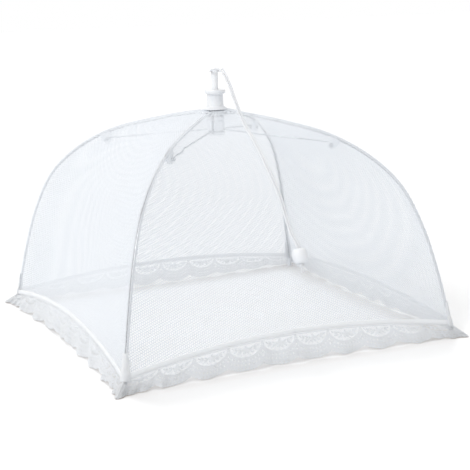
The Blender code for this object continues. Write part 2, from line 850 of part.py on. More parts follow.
def make_pull(fibre, plastic):
    """The bead takes both strands in its mouth and has the knot under it."""
    left = strand(-1.0)
    right = strand(1.0)
    before = Vector(CORD_ROUTE[-2][1])
    end = Vector(CORD_ROUTE[-1][1])
    along = (end - before).normalized()
    skew = max((point - end).dot(along) for point in (left[-1], right[-1]))
    middle = end + along * (skew + SEAT_GAP - BEAD_MOUTH_DEPTH + BEAD_LENGTH / 2)
    under = middle + along * (BEAD_LENGTH / 2 + SEAT_GAP + KNOT_LENGTH / 2)
    return [
        dress(make_cord(left, right), fibre),
        dress(hang_on_cord(make_bead(), middle, along), plastic),
        dress(hang_on_cord(make_knot(), under, along), fibre),
    ]


# The whole


def hold(name, place, azimuth, pieces):
    """An empty on the joint's axis, which carries the pieces that turn or slide with it."""
    empty = bpy.data.objects.new(name, None)
    parts.objects.link(empty)
    empty.empty_display_size = PIVOT_RADIUS
    empty.location = Matrix.Rotation(math.radians(azimuth), 3, "Z") @ Vector(place)
    empty.rotation_euler.z = math.radians(azimuth)
    bpy.context.view_layer.update()
    for piece in pieces:
        piece.parent = empty
        piece.matrix_parent_inverse = empty.matrix_world.inverted()
    return empty


def main():
    clear_scene()
    plastic = material("white_plastic", (0.90, 0.91, 0.93), 0.35)
    steel = material("rib_steel", (0.55, 0.56, 0.58), 0.30, 1.0)
    tape = material("seam_tape_white", (0.88, 0.89, 0.92), 0.80)
    net = material("net_white", (0.86, 0.88, 0.93), 0.75, alpha=0.45)
    binding = material("binding_white", (0.91, 0.92, 0.94), 0.80)
    lace = material("lace_white", (0.93, 0.93, 0.95), 0.80)

    hub = make_hub(plastic, steel)
    hold("crown", (0.0, 0.0, RIB_PIVOT_HEIGHT), 0.0, hub["crown"])
    hold("runner_slide", (0.0, 0.0, RUNNER_PIVOT_HEIGHT), 0.0, hub["runner"])

    route = make_rib()
    ribs = spread(as_mesh(wire("rib", route, RIB_WIRE / 2)), RIB_AZIMUTHS, steel)
    clips = spread(make_clip(route), RIB_AZIMUTHS, plastic)
    rivets = spread(make_rivet(), RIB_AZIMUTHS, steel)
    tips = spread(make_tip(route), RIB_AZIMUTHS, plastic)
    tapes = spread(make_tape(), RIB_AZIMUTHS, tape)
    stretchers = spread(make_stretcher(), RIB_AZIMUTHS, steel)
    for place, azimuth in RIB_AZIMUTHS.items():
        carried = [group[place] for group in (ribs, clips, rivets, tips, tapes)]
        pivot = (PIVOT_RADIUS, 0.0, RIB_PIVOT_HEIGHT)
        hold(f"rib_hinge_{place}", pivot, azimuth, carried)
        pivot = (PIVOT_RADIUS, 0.0, RUNNER_PIVOT_HEIGHT)
        hold(f"stretcher_hinge_{place}", pivot, azimuth, [stretchers[place]])

    fibre = material("cord_white", (0.92, 0.92, 0.93), 0.70)
    pull = make_pull(fibre, plastic)
    hold("cord_swing", (PIVOT_RADIUS / RIDGE, 0.0, RIB_PIVOT_HEIGHT), SIDE_AZIMUTHS["front"], pull)

    gores = spread(make_gore(), SIDE_AZIMUTHS, net)
    hems = spread(make_hem(), SIDE_AZIMUTHS, binding)
    laces = spread(make_lace(), SIDE_AZIMUTHS, lace)
    for place, azimuth in SIDE_AZIMUTHS.items():
        pivot = (PIVOT_RADIUS / RIDGE, 0.0, RIB_PIVOT_HEIGHT)
        hold(f"cloth_fold_{place}", pivot, azimuth, [gores[place], hems[place], laces[place]])


main()
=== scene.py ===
# Looks of the pop-up net food cover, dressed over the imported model. Metres, +Z up.
# The middle of the square on the table that the cover stands over is the origin.

import math

import bpy
import numpy as np
from mathutils import Matrix, Vector


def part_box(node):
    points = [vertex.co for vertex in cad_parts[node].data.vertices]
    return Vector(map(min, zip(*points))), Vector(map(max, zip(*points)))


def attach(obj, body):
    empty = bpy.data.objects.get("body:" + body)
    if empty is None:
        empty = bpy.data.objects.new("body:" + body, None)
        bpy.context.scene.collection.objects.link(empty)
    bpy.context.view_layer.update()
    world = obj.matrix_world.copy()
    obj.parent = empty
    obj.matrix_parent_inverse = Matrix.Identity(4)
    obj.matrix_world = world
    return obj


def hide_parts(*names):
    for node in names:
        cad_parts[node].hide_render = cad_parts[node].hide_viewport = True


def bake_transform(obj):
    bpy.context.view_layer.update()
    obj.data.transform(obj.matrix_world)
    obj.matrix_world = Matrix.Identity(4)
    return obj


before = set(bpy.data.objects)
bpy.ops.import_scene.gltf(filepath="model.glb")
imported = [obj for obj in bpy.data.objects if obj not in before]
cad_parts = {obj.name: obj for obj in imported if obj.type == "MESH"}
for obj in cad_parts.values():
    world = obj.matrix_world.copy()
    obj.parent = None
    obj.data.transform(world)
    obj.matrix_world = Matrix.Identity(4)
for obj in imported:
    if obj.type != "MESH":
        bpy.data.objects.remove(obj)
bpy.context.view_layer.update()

# Where ribs and sides point, in degrees about Z
ribAzimuths = {"front_left": 225.0, "front_right": 315.0, "back_right": 45.0, "back_left": 135.0}
sideAzimuths = {"front": 270.0, "right": 0.0, "back": 90.0, "left": 180.0}


# Camera

cameraSettings = {
    "place": (-0.48363, -1.07486, 0.33816),
    "looks": (0.41327, 0.88619, -0.20946),
    "rollDegrees": -1.45,
    "lens": 92.63,
}


def makeCamera(settings):
    bpy.ops.object.camera_add()
    camera = bpy.context.object
    camera.name = "photoCamera"
    camera.data.lens = settings["lens"]
    ahead = Vector(settings["looks"]).normalized()
    side = ahead.cross(Vector((0.0, 0.0, 1.0))).normalized()
    up = side.cross(ahead)
    roll = math.radians(settings["rollDegrees"])
    right = side * math.cos(roll) + up * math.sin(roll)
    top = up * math.cos(roll) - side * math.sin(roll)
    turn = Matrix((right, top, -ahead)).transposed().to_4x4()
    camera.matrix_world = Matrix.Translation(settings["place"]) @ turn
    bpy.context.scene.camera = camera


makeCamera(cameraSettings)
print("camera set")


# Small helpers


def freshSelection():
    if bpy.context.object and bpy.context.object.mode != "OBJECT":
        bpy.ops.object.mode_set(mode="OBJECT")
    bpy.ops.object.select_all(action="DESELECT")


def onlySelect(piece):
    freshSelection()
    piece.select_set(True)
    bpy.context.view_layer.objects.active = piece


def editMesh(piece):
    onlySelect(piece)
    bpy.ops.object.mode_set(mode="EDIT")
    bpy.ops.mesh.select_all(action="SELECT")


def leaveMesh():
    bpy.ops.mesh.select_all(action="SELECT")
    bpy.ops.mesh.normals_make_consistent(inside=False)
    bpy.ops.object.mode_set(mode="OBJECT")


def makeOutwards(piece):
    editMesh(piece)
    leaveMesh()
    return piece


def fillOpenEdges():
    bpy.ops.mesh.select_all(action="DESELECT")
    bpy.ops.mesh.select_mode(type="EDGE")
    bpy.ops.mesh.select_non_manifold()
    bpy.ops.mesh.edge_face_add()


def closeTube(piece):
    # Joins a tube's first and last column and fills its open ends
    editMesh(piece)
    bpy.ops.mesh.remove_doubles(threshold=0.000003)
    fillOpenEdges()
    leaveMesh()
    return piece


def modify(piece, kind, **values):
    onlySelect(piece)
    modifier = piece.modifiers.new("shape", kind)
    for name, value in values.items():
        setattr(modifier, name, value)
    bpy.ops.object.modifier_apply(modifier=modifier.name)
    return piece


def placeInMesh(piece):
    onlySelect(piece)
    bpy.ops.object.transform_apply(location=True, rotation=True, scale=True)
    return piece


def shadeByAngle(piece, degrees):
    onlySelect(piece)
    bpy.ops.object.shade_smooth_by_angle(angle=math.radians(degrees))
    return piece


def linkPiece(name, mesh):
    piece = bpy.data.objects.new(name, mesh)
    bpy.context.scene.collection.objects.link(piece)
    return piece


def copyTurned(piece, name, degrees):
    copy = linkPiece(name, piece.data.copy())
    copy.data.name = name
    copy.rotation_euler.z = math.radians(degrees)
    return placeInMesh(copy)


def settle(piece, finish, node=None, body=None):
    # Material and slot, the solid that the piece stands for, the body that it rides on
    piece.data.materials.clear()
    piece.data.materials.append(finishes[finish])
    if node:
        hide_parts(node)
    if body:
        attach(piece, body)
    return piece


def spreadOverRibs(mould, label, finish, body="arm", node=None):
    for place, azimuth in ribAzimuths.items():
        copy = copyTurned(mould, f"{label}_{place}", azimuth)
        settle(copy, finish, node and f"{node}_{place}", f"{body}_{place}")
    bpy.data.objects.remove(mould, do_unlink=True)


def meshPiece(name, points, faces, uvs):
    # The map is in metres, so that a weave keeps its size
    mesh = bpy.data.meshes.new(name)
    mesh.from_pydata([tuple(p) for p in points], [], [tuple(int(i) for i in f) for f in faces])
    layer = mesh.uv_layers.new(name="weave")
    corners = np.zeros(len(mesh.loops), np.int32)
    mesh.loops.foreach_get("vertex_index", corners)
    layer.uv.foreach_set("vector", np.asarray(uvs, np.float32)[corners].ravel())
    mesh.validate()
    mesh.shade_smooth()
    return linkPiece(name, mesh)


def gridFaces(rows, columns, flip=False, start=0):
    down, along = np.meshgrid(np.arange(rows - 1), np.arange(columns - 1), indexing="ij")
    corner = (down * columns + along).ravel() + start
    faces = np.stack([corner, corner + columns, corner + columns + 1, corner + 1], 1)
    return faces[:, ::-1] if flip else faces


def gridPiece(name, grid, uvs, flip=False):
    faces = gridFaces(*grid.shape[:2], flip=flip)
    return meshPiece(name, grid.reshape(-1, 3), faces, uvs.reshape(-1, 2))


def unit(vectors):
    return vectors / np.linalg.norm(vectors, axis=-1)[..., None]


def runOf(line):
    # Metres along a line, at each of its points
    return np.concatenate([[0.0], np.cumsum(np.linalg.norm(np.diff(line, axis=0), axis=1))])


def atStations(stations, run, *rows):
    return [np.stack([np.interp(stations, run, row[:, i]) for i in range(3)], 1) for row in rows]


def unevenWave(run, length, bend, slowLength, slowRun=None, shift=0.0):
    # A sine whose length wanders a little
    slowRun = run if slowRun is None else slowRun
    return np.sin(run / length + shift + bend * np.sin(slowRun / slowLength))


def fadeIn(away, reach):
    return 1 - np.exp(-away / reach)


def tubeMesh(centres, radius, sides):
    # Rings along the centres, and the metres around and along them as a map
    centres = np.asarray(centres, float)
    ahead = unit(np.gradient(centres, axis=0))
    out = np.cross(ahead[0], (0.0, 0.0, 1.0) if abs(ahead[0][2]) < 0.9 else (1.0, 0.0, 0.0))
    outs = []
    for direction in ahead:
        out = out - direction * (out @ direction)
        out /= np.linalg.norm(out)
        outs.append(out)
    outs = np.array(outs)
    sideways = np.cross(ahead, outs)
    turns = np.linspace(0.0, 2 * math.pi, sides + 1)
    points = (
        centres[:, None]
        + radius * outs[:, None] * np.cos(turns)[None, :, None]
        + radius * sideways[:, None] * np.sin(turns)[None, :, None]
    )
    places = np.stack(np.broadcast_arrays(turns[None] * radius, runOf(centres)[:, None]), -1)
    return points, places


def tubesPiece(name, lines, radius, sides):
    # Closed tubes along all these lines, as one piece
    points, faces, uvs, start = [], [], [], 0
    for line in lines:
        rings, places = tubeMesh(line, radius, sides)
        points.append(rings.reshape(-1, 3))
        uvs.append(places.reshape(-1, 2))
        faces.append(gridFaces(*rings.shape[:2], start=start))
        start += len(points[-1])
    return closeTube(meshPiece(name, *[np.concatenate(part) for part in (points, faces, uvs)]))


# Node trees


def feed(tree, node, inputs):
    for name, value in inputs.items():
        if isinstance(value, bpy.types.NodeSocket):
            tree.links.new(value, node.inputs[name])
        else:
            node.inputs[name].default_value = value
    return node


def addNode(tree, kind, inputs=None, **settings):
    node = tree.nodes.new(kind)
    for name, value in settings.items():
        setattr(node, name, value)
    return feed(tree, node, inputs or {})


def calc(tree, operation, first, second=0.0, third=0.0, clamp=False):
    inputs = {0: first, 1: second, 2: third}
    return addNode(tree, "ShaderNodeMath", inputs, operation=operation, use_clamp=clamp).outputs[0]


def vectorCalc(tree, operation, first, second=(0.0, 0.0, 0.0), third=(0.0, 0.0, 0.0)):
    inputs = {0: first, 1: second, 2: third}
    node = addNode(tree, "ShaderNodeVectorMath", inputs, operation=operation)
    return node.outputs["Value" if operation in ("LENGTH", "DOT_PRODUCT") else "Vector"]


def scaled(tree, place, scale):
    inputs = {0: place, "Scale": scale}
    return addNode(tree, "ShaderNodeVectorMath", inputs, operation="SCALE").outputs["Vector"]


def noise(tree, place, scale, detail):
    inputs = {"Vector": place, "Scale": scale, "Detail": detail}
    return addNode(tree, "ShaderNodeTexNoise", inputs).outputs


def spread(tree, value, low, high):
    inputs = {"Value": value, "From Min": low, "From Max": high}
    return addNode(tree, "ShaderNodeMapRange", inputs).outputs[0]


def mixTones(tree, share, first, second):
    inputs = {0: share, 6: first, 7: second}
    return addNode(tree, "ShaderNodeMix", inputs, data_type="RGBA").outputs[2]


def mixShaders(tree, share, first, second):
    return addNode(tree, "ShaderNodeMixShader", {0: share, 1: first, 2: second}).outputs[0]


def bump(tree, height, strength, distance):
    inputs = {"Height": height, "Strength": strength, "Distance": distance}
    return addNode(tree, "ShaderNodeBump", inputs).outputs[0]


def newGroup(name, inputs, outputs):
    tree = bpy.data.node_groups.new(name, "ShaderNodeTree")
    for way, sockets in (("INPUT", inputs), ("OUTPUT", outputs)):
        for label, kind in sockets.items():
            tree.interface.new_socket(label, in_out=way, socket_type="NodeSocket" + kind)
    return tree, tree.nodes.new("NodeGroupInput").outputs, tree.nodes.new("NodeGroupOutput")


def useGroup(tree, group, inputs):
    return addNode(tree, "ShaderNodeGroup", inputs, node_tree=group).outputs


def hexNetGroup():
    # Six-sided net meshes: a mask of the threads and their rounded height
    tree, given, made = newGroup(
        "hexNet",
        {"Place": "Vector", "Pitch": "Float", "Thread": "Float", "Wobble": "Float"},
        {"Mask": "Float", "Height": "Float", "Fuzz": "Float"},
    )
    fuzz = noise(tree, given["Place"], 260.0, 2.0)
    shift = vectorCalc(tree, "SUBTRACT", fuzz["Color"], (0.5, 0.5, 0.5))
    inPitches = scaled(tree, given["Place"], calc(tree, "DIVIDE", 1.0, given["Pitch"]))
    place = vectorCalc(tree, "ADD", inPitches, scaled(tree, shift, given["Wobble"]))
    place = vectorCalc(tree, "MULTIPLY", place, (1.0, 1.0, 0.0))
    tall = math.sqrt(3.0) / 2
    high, low = (tall, 0.5, 1.0), (-tall, -0.5, -1.0)
    even = vectorCalc(tree, "WRAP", place, high, low)
    moved = vectorCalc(tree, "ADD", place, (tall, 0.5, 0.0))
    odd = vectorCalc(tree, "WRAP", moved, high, low)
    lengths = [vectorCalc(tree, "LENGTH", away) for away in (even, odd)]
    inputs = {0: calc(tree, "GREATER_THAN", *lengths), 4: even, 5: odd}
    nearest = addNode(tree, "ShaderNodeMix", inputs, data_type="VECTOR").outputs[1]
    nearest = vectorCalc(tree, "ABSOLUTE", nearest)
    slant = vectorCalc(tree, "DOT_PRODUCT", nearest, (tall, 0.5, 0.0))
    straight = addNode(tree, "ShaderNodeSeparateXYZ", {0: nearest}).outputs["Y"]
    edge = calc(tree, "SUBTRACT", 0.5, calc(tree, "MAXIMUM", slant, straight))
    edge = calc(tree, "MULTIPLY", edge, given["Pitch"])
    # Threads are between 0.55 and 1.45 of their width, with soft edges
    uneven = calc(tree, "MULTIPLY_ADD", fuzz["Fac"], 0.9, 0.55)
    half = calc(tree, "MULTIPLY", calc(tree, "MULTIPLY", given["Thread"], 0.5), uneven)
    share = calc(tree, "DIVIDE", edge, half)
    mask = spread(tree, share, 1.15, 0.85)
    height = calc(tree, "SUBTRACT", 1.0, calc(tree, "MULTIPLY", share, share), clamp=True)
    feed(tree, made, {"Mask": mask, "Height": height, "Fuzz": fuzz["Fac"]})
    return tree


def wovenGroup():
    # Plain weave: threads over and under, on the piece's own map in metres
    tree, given, made = newGroup(
        "wovenThreads",
        {"Place": "Vector", "Thread": "Float", "Light": "Color", "Dark": "Color"},
        {"Color": "Color", "Height": "Float", "Fuzz": "Float"},
    )
    turns = scaled(tree, given["Place"], calc(tree, "DIVIDE", math.pi, given["Thread"]))
    split = addNode(tree, "ShaderNodeSeparateXYZ", {0: turns}).outputs
    warp, weft = [calc(tree, "ABSOLUTE", calc(tree, "SINE", split[axis])) for axis in "XY"]
    over = calc(tree, "MULTIPLY", *[calc(tree, "COSINE", split[axis]) for axis in "XY"])
    over = calc(tree, "MULTIPLY_ADD", over, 0.5, 0.5, clamp=True)
    height = addNode(tree, "ShaderNodeMix", {0: over, 2: warp, 3: weft}, data_type="FLOAT")
    height = calc(tree, "MULTIPLY", height.outputs[0], 0.8)
    fuzz = noise(tree, given["Place"], 900.0, 3.0)["Fac"]
    soft = calc(tree, "MULTIPLY_ADD", fuzz, 0.35, height)
    share = calc(tree, "MULTIPLY", soft, 1.0, clamp=True)
    # Colour from the height: the hollows between the threads get the darker tone, painted shade,
    # mixed with a random tone from the fuzz
    colour = mixTones(tree, share, given["Dark"], given["Light"])
    feed(tree, made, {"Color": colour, "Height": soft, "Fuzz": fuzz})
    return tree


def marksGroup():
    # Fine handling marks and moulding grain, on Object coordinates
    tree, given, made = newGroup(
        "surfaceMarks",
        {"Place": "Vector", "Grain": "Float", "Patch": "Float", "Light": "Color", "Dark": "Color"},
        {"Color": "Color", "Height": "Float", "Marks": "Float"},
    )
    grain = noise(tree, given["Place"], given["Grain"], 3.0)["Fac"]
    patch = noise(tree, given["Place"], given["Patch"], 4.0)["Fac"]
    marks = spread(tree, patch, 0.35, 0.7)
    colour = mixTones(tree, marks, given["Light"], given["Dark"])
    feed(tree, made, {"Color": colour, "Height": grain, "Marks": marks})
    return tree


hexNet = hexNetGroup()
wovenThreads = wovenGroup()
surfaceMarks = marksGroup()


def newMaterial(name):
    made = bpy.data.materials.new(name)
    made.use_nodes = True
    tree = made.node_tree
    return made, tree, tree.nodes["Principled BSDF"]


def lightThrough(weight, depth):
    # White cloth and plastic let some light through their thickness
    return {
        "Subsurface Weight": weight,
        "Subsurface Radius": (1.0, 0.96, 0.92),
        "Subsurface Scale": depth,
    }


def weaveMap(tree):
    return addNode(tree, "ShaderNodeUVMap", uv_map="weave").outputs[0]


netLook = {
    "pitch": 0.0022,
    "thread": 0.00053,
    "slantShare": 0.50,
    "slantLeast": 0.22,
    "wobble": 0.10,
    "through": 0.33,
    "light": (0.90, 0.925, 0.955, 1.0),
    "dark": (0.82, 0.85, 0.89, 1.0),
    "roughness": 0.62,
    "sheen": 0.15,
    "relief": (0.6, 0.0002),
}
tulleLook = {**netLook, "pitch": 0.0015, "thread": 0.00026, "wobble": 0.14}


def netMaterial(name, look):
    made, tree, shader = newMaterial(name)
    # Round threads close the meshes where the net is seen at a slant
    facing = addNode(tree, "ShaderNodeLayerWeight", {"Blend": 0.5}).outputs["Facing"]
    square = calc(tree, "MAXIMUM", calc(tree, "SUBTRACT", 1.0, facing), look["slantLeast"])
    slanted = calc(tree, "DIVIDE", look["slantShare"], square)
    wider = calc(tree, "ADD", slanted, 1 - look["slantShare"])
    inputs = {
        "Place": weaveMap(tree),
        "Pitch": look["pitch"],
        "Thread": calc(tree, "MULTIPLY", wider, look["thread"]),
        "Wobble": look["wobble"],
    }
    net = useGroup(tree, hexNet, inputs)
    colour = mixTones(tree, net["Fuzz"], look["dark"], look["light"])
    inputs = {
        "Base Color": colour,
        "Roughness": look["roughness"],
        "Sheen Weight": look["sheen"],
        "Normal": bump(tree, net["Height"], *look["relief"]),
    }
    feed(tree, shader, inputs)
    # Thin threads: part of the light behind them comes through, and the meshes are open
    through = addNode(tree, "ShaderNodeBsdfTranslucent", {"Color": colour}).outputs[0]
    threads = mixShaders(tree, look["through"], shader.outputs[0], through)
    clear = addNode(tree, "ShaderNodeBsdfTransparent").outputs[0]
    seen = mixShaders(tree, net["Mask"], clear, threads)
    feed(tree, tree.nodes["Material Output"], {"Surface": seen})
    return made


# Sewn cloth and thread: "through" is how much light goes how deep, "slant" turns the weave
# "dark" is the tone of the painted shade in the hollows between the threads
clothLook = {
    "tape_cloth": {
        "thread": 0.00050,
        "light": (0.92, 0.935, 0.955, 1.0),
        "dark": (0.84, 0.855, 0.89, 1.0),
        "through": (0.80, 0.0014),
        "roughness": 0.75,
        "relief": 0.0002,
        "slant": 0.0,
    },
    "binding_cloth": {
        "thread": 0.00055,
        "light": (0.93, 0.94, 0.96, 1.0),
        "dark": (0.85, 0.865, 0.90, 1.0),
        "through": (0.80, 0.0018),
        "roughness": 0.75,
        "relief": 0.0002,
        "slant": 0.0,
    },
    "stitch_thread": {
        "thread": 0.00030,
        "light": (0.93, 0.935, 0.95, 1.0),
        "dark": (0.80, 0.81, 0.84, 1.0),
        "through": (0.50, 0.0005),
        "roughness": 0.7,
        "relief": 0.0001,
        "slant": 0.7,
    },
    "lace_thread": {
        "thread": 0.00042,
        "light": (0.925, 0.945, 0.975, 1.0),
        "dark": (0.83, 0.855, 0.905, 1.0),
        "through": (0.90, 0.0032),
        "roughness": 0.75,
        "relief": 0.0002,
        "slant": 0.5,
    },
    "cord_braid": {
        "thread": 0.00055,
        "light": (0.93, 0.935, 0.95, 1.0),
        "dark": (0.72, 0.73, 0.76, 1.0),
        "through": (0.50, 0.0008),
        "roughness": 0.7,
        "relief": 0.0002,
        "slant": 0.785,
    },
}


def clothMaterial(name, look):
    made, tree, shader = newMaterial(name)
    inputs = {"Vector": weaveMap(tree), "Rotation": (0.0, 0.0, look["slant"])}
    place = addNode(tree, "ShaderNodeMapping", inputs).outputs[0]
    inputs = {
        "Place": place,
        "Thread": look["thread"],
        "Light": look["light"],
        "Dark": look["dark"],
    }
    weave = useGroup(tree, wovenThreads, inputs)
    inputs = {
        "Base Color": weave["Color"],
        "Roughness": calc(tree, "MULTIPLY_ADD", weave["Fuzz"], 0.2, look["roughness"] - 0.1),
        "Sheen Weight": 0.2,
        "Normal": bump(tree, weave["Height"], 0.7, look["relief"]),
        **lightThrough(*look["through"]),
    }
    feed(tree, shader, inputs)
    return made


# Plastic and wire: "roughness" is the least, then what the marks add
markedLook = {
    "moulded_plastic": {
        "grain": 3200.0,
        "patch": 140.0,
        "light": (0.90, 0.91, 0.925, 1.0),
        "dark": (0.83, 0.845, 0.87, 1.0),
        "roughness": (0.30, 0.14),
        "relief": 0.12,
        "metallic": 0.0,
        "through": (0.30, 0.0015),
    },
    "zinc_wire": {
        "grain": 1800.0,
        "patch": 260.0,
        "light": (0.60, 0.61, 0.63, 1.0),
        "dark": (0.42, 0.43, 0.45, 1.0),
        "roughness": (0.28, 0.2),
        "relief": 0.15,
        "metallic": 1.0,
        "through": (0.0, 0.0015),
    },
}


def markedMaterial(name, look):
    made, tree, shader = newMaterial(name)
    inputs = {
        "Place": addNode(tree, "ShaderNodeTexCoord").outputs["Object"],
        "Grain": look["grain"],
        "Patch": look["patch"],
        "Light": look["light"],
        "Dark": look["dark"],
    }
    marks = useGroup(tree, surfaceMarks, inputs)
    least, more = look["roughness"]
    inputs = {
        "Base Color": marks["Color"],
        "Roughness": calc(tree, "MULTIPLY_ADD", marks["Marks"], more, least),
        "Metallic": look["metallic"],
        "Normal": bump(tree, marks["Height"], look["relief"], 0.0001),
        **lightThrough(*look["through"]),
    }
    feed(tree, shader, inputs)
    return made


finishes = {
    "net_cloth": netMaterial("net_cloth", netLook),
    "lace_tulle": netMaterial("lace_tulle", tulleLook),
    **{name: clothMaterial(name, look) for name, look in clothLook.items()},
    **{name: markedMaterial(name, look) for name, look in markedLook.items()},
}
print("materials made")


# Pull cord: one doubled cord through the plunger's eyelet, down to its bead

cordSettings = {
    "diameter": 0.0018,
    "eyeletAzimuth": 4.0,
    "sides": 12,
    "step": 0.0012,
    "loopShare": 0.0262,
    "eyeletStart": 0.0002,
    "eyeletEnd": 0.0017,
    "swingStart": (0.0, -0.036, 0.227),
    "swingEnd": (0.0, -0.052, 0.205),
}
# How far each strand lies to its side, then the point between the two strands
cordRoute = (
    (0.0000, (0.0000, 0.0000, 0.2485)),
    (0.0032, (0.0000, 0.0000, 0.2485)),
    (0.0055, (0.0001, -0.0018, 0.2489)),
    (0.0058, (0.0003, -0.0050, 0.2502)),
    (0.0043, (0.0005, -0.0086, 0.2516)),
    (0.0025, (0.0008, -0.0126, 0.2515)),
    (0.0014, (0.0012, -0.0174, 0.2488)),
    (0.0011, (0.0017, -0.0230, 0.2440)),
    (0.0011, (0.0022, -0.0284, 0.2380)),
    (0.0011, (0.0032, -0.0389, 0.2228)),
    (0.0011, (0.0040, -0.0502, 0.2085)),
    (0.0011, (0.0041, -0.0623, 0.1976)),
    (0.0011, (0.0032, -0.0740, 0.1918)),
    (0.0011, (0.0025, -0.0847, 0.1852)),
    (0.0011, (0.0025, -0.1036, 0.1691)),
    (0.0011, (0.0043, -0.1155, 0.1545)),
    (0.0011, (0.0060, -0.1226, 0.1432)),
    (0.0011, (0.0075, -0.1295, 0.1282)),
    (0.0011, (0.0086, -0.1344, 0.1171)),
    (0.0011, (0.0098, -0.1390, 0.1088)),
    (0.0011, (0.0110, -0.1432, 0.1041)),
    (0.0011, (0.0117, -0.1458, 0.1005)),
    (0.0011, (0.0118, -0.1466, 0.0978)),
)


def smoothCurve(points, steps):
    # A smooth curve through the points (centripetal Catmull-Rom), as the solids have it
    points = [Vector(p) for p in points]
    held = [points[0] * 2 - points[1], *points, points[-1] * 2 - points[-2]]
    made = []
    for a, b, c, d in zip(held, held[1:], held[2:], held[3:]):
        ta = 0.0
        tb = ta + math.sqrt((b - a).length)
        tc = tb + math.sqrt((c - b).length)
        td = tc + math.sqrt((d - c).length)
        for step in range(steps):
            t = tb + (tc - tb) * step / steps
            ab = a * ((tb - t) / (tb - ta)) + b * ((t - ta) / (tb - ta))
            bc = b * ((tc - t) / (tc - tb)) + c * ((t - tb) / (tc - tb))
            cd = c * ((td - t) / (td - tc)) + d * ((t - tc) / (td - tc))
            abc = ab * ((tc - t) / (tc - ta)) + bc * ((t - ta) / (tc - ta))
            bcd = bc * ((td - t) / (td - tb)) + cd * ((t - tb) / (td - tb))
            made.append(abc * ((tc - t) / (tc - tb)) + bcd * ((t - tb) / (tc - tb)))
    made.append(points[-1])
    return np.array([tuple(p) for p in made])


def eyeletAside(away):
    turn = math.radians(cordSettings["eyeletAzimuth"])
    return Vector((math.cos(turn), math.sin(turn), 0.0)) * away


def strandPoints(side, settings):
    aside = eyeletAside(side)
    fine = smoothCurve([Vector(middle) + aside * away for away, middle in cordRoute], 12)
    run = runOf(fine)
    stations = np.linspace(0.0, run[-1], int(run[-1] / settings["step"]) + 1)
    return atStations(stations, run, fine)[0]


def makeCords(settings):
    made = {}
    for side, label in ((-1.0, "left"), (1.0, "right")):
        line = strandPoints(side, settings)
        cutAt = int(np.argmax(line[:, 1] < -settings["loopShare"]))
        points, places = tubeMesh(line, settings["diameter"] / 2, settings["sides"])
        for part, rows in (("loop", slice(0, cutAt + 1)), ("strand", slice(cutAt, None))):
            centres = line[rows]
            piece = closeTube(gridPiece(f"cord_{part}_{label}", points[rows], places[rows]))
            settle(shadeByAngle(piece, 50.0), "cord_braid", "pull_cord")
            if part == "loop":
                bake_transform(piece)
            else:
                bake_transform(piece)
            made[part, label] = (piece, centres)
    return made


cords = makeCords(cordSettings)


# Hub and fittings, turned and cut


def ringStack(name, rings, sides):
    # A turned piece: a circle, drawn up ring by ring. A ring of no radius closes it
    freshSelection()
    radius, height = rings[0]
    bpy.ops.mesh.primitive_circle_add(vertices=sides, radius=radius, location=(0.0, 0.0, height))
    piece = bpy.context.object
    piece.name = name
    piece.data.name = name
    editMesh(piece)
    for nextRadius, nextHeight in rings[1:]:
        lift = {"value": (0.0, 0.0, nextHeight - height)}
        bpy.ops.mesh.extrude_region_move(TRANSFORM_OT_translate=lift)
        if nextRadius == 0.0:
            bpy.ops.mesh.merge(type="CENTER")
            break
        size = nextRadius / radius
        bpy.ops.transform.resize(value=(size, size, 1.0), center_override=(0.0, 0.0, nextHeight))
        radius, height = nextRadius, nextHeight
    bpy.ops.mesh.select_all(action="SELECT")
    bpy.ops.mesh.remove_doubles(threshold=0.000004)
    leaveMesh()
    return placeInMesh(piece)


def closeBottom(piece):
    editMesh(piece)
    fillOpenEdges()
    bpy.ops.mesh.inset(thickness=0.0006)
    leaveMesh()
    return piece


def cutWith(piece, tools):
    for tool in tools:
        modify(piece, "BOOLEAN", operation="DIFFERENCE", solver="EXACT", object=tool)
        bpy.data.objects.remove(tool, do_unlink=True)
    return piece


def roundEdges(piece, width, segments=2, degrees=30.0):
    limit = {"limit_method": "ANGLE", "angle_limit": math.radians(degrees)}
    modify(piece, "BEVEL", width=width, segments=segments, use_clamp_overlap=True, **limit)
    return shadeByAngle(piece, 38.0)


def eyeReach(wireSize):
    return hubSettings["ringWire"] / 2 + hubSettings["eyePlay"] + wireSize


def slotTool(wireSize, pivot, top, degrees):
    # A block at a wire's eye, open to the rim and to the top
    sizes = hubSettings
    half = wireSize / 2 + sizes["seatGap"]
    reach = eyeReach(wireSize) + sizes["seatGap"]
    low = Vector((sizes["pivotRadius"] - reach, -half, pivot - reach))
    high = Vector((sizes["notchRadius"] + sizes["toolPast"], half, top + sizes["toolPast"]))
    freshSelection()
    bpy.ops.mesh.primitive_cube_add(size=1.0, location=(low + high) / 2)
    tool = bpy.context.object
    tool.scale = high - low
    placeInMesh(tool)
    tool.rotation_euler.z = math.radians(degrees)
    return placeInMesh(tool)


def cutSlots(piece, wireSize, pivot, top):
    tools = [slotTool(wireSize, pivot, top, azimuth) for azimuth in ribAzimuths.values()]
    return roundEdges(cutWith(piece, tools), hubSettings["edge"])


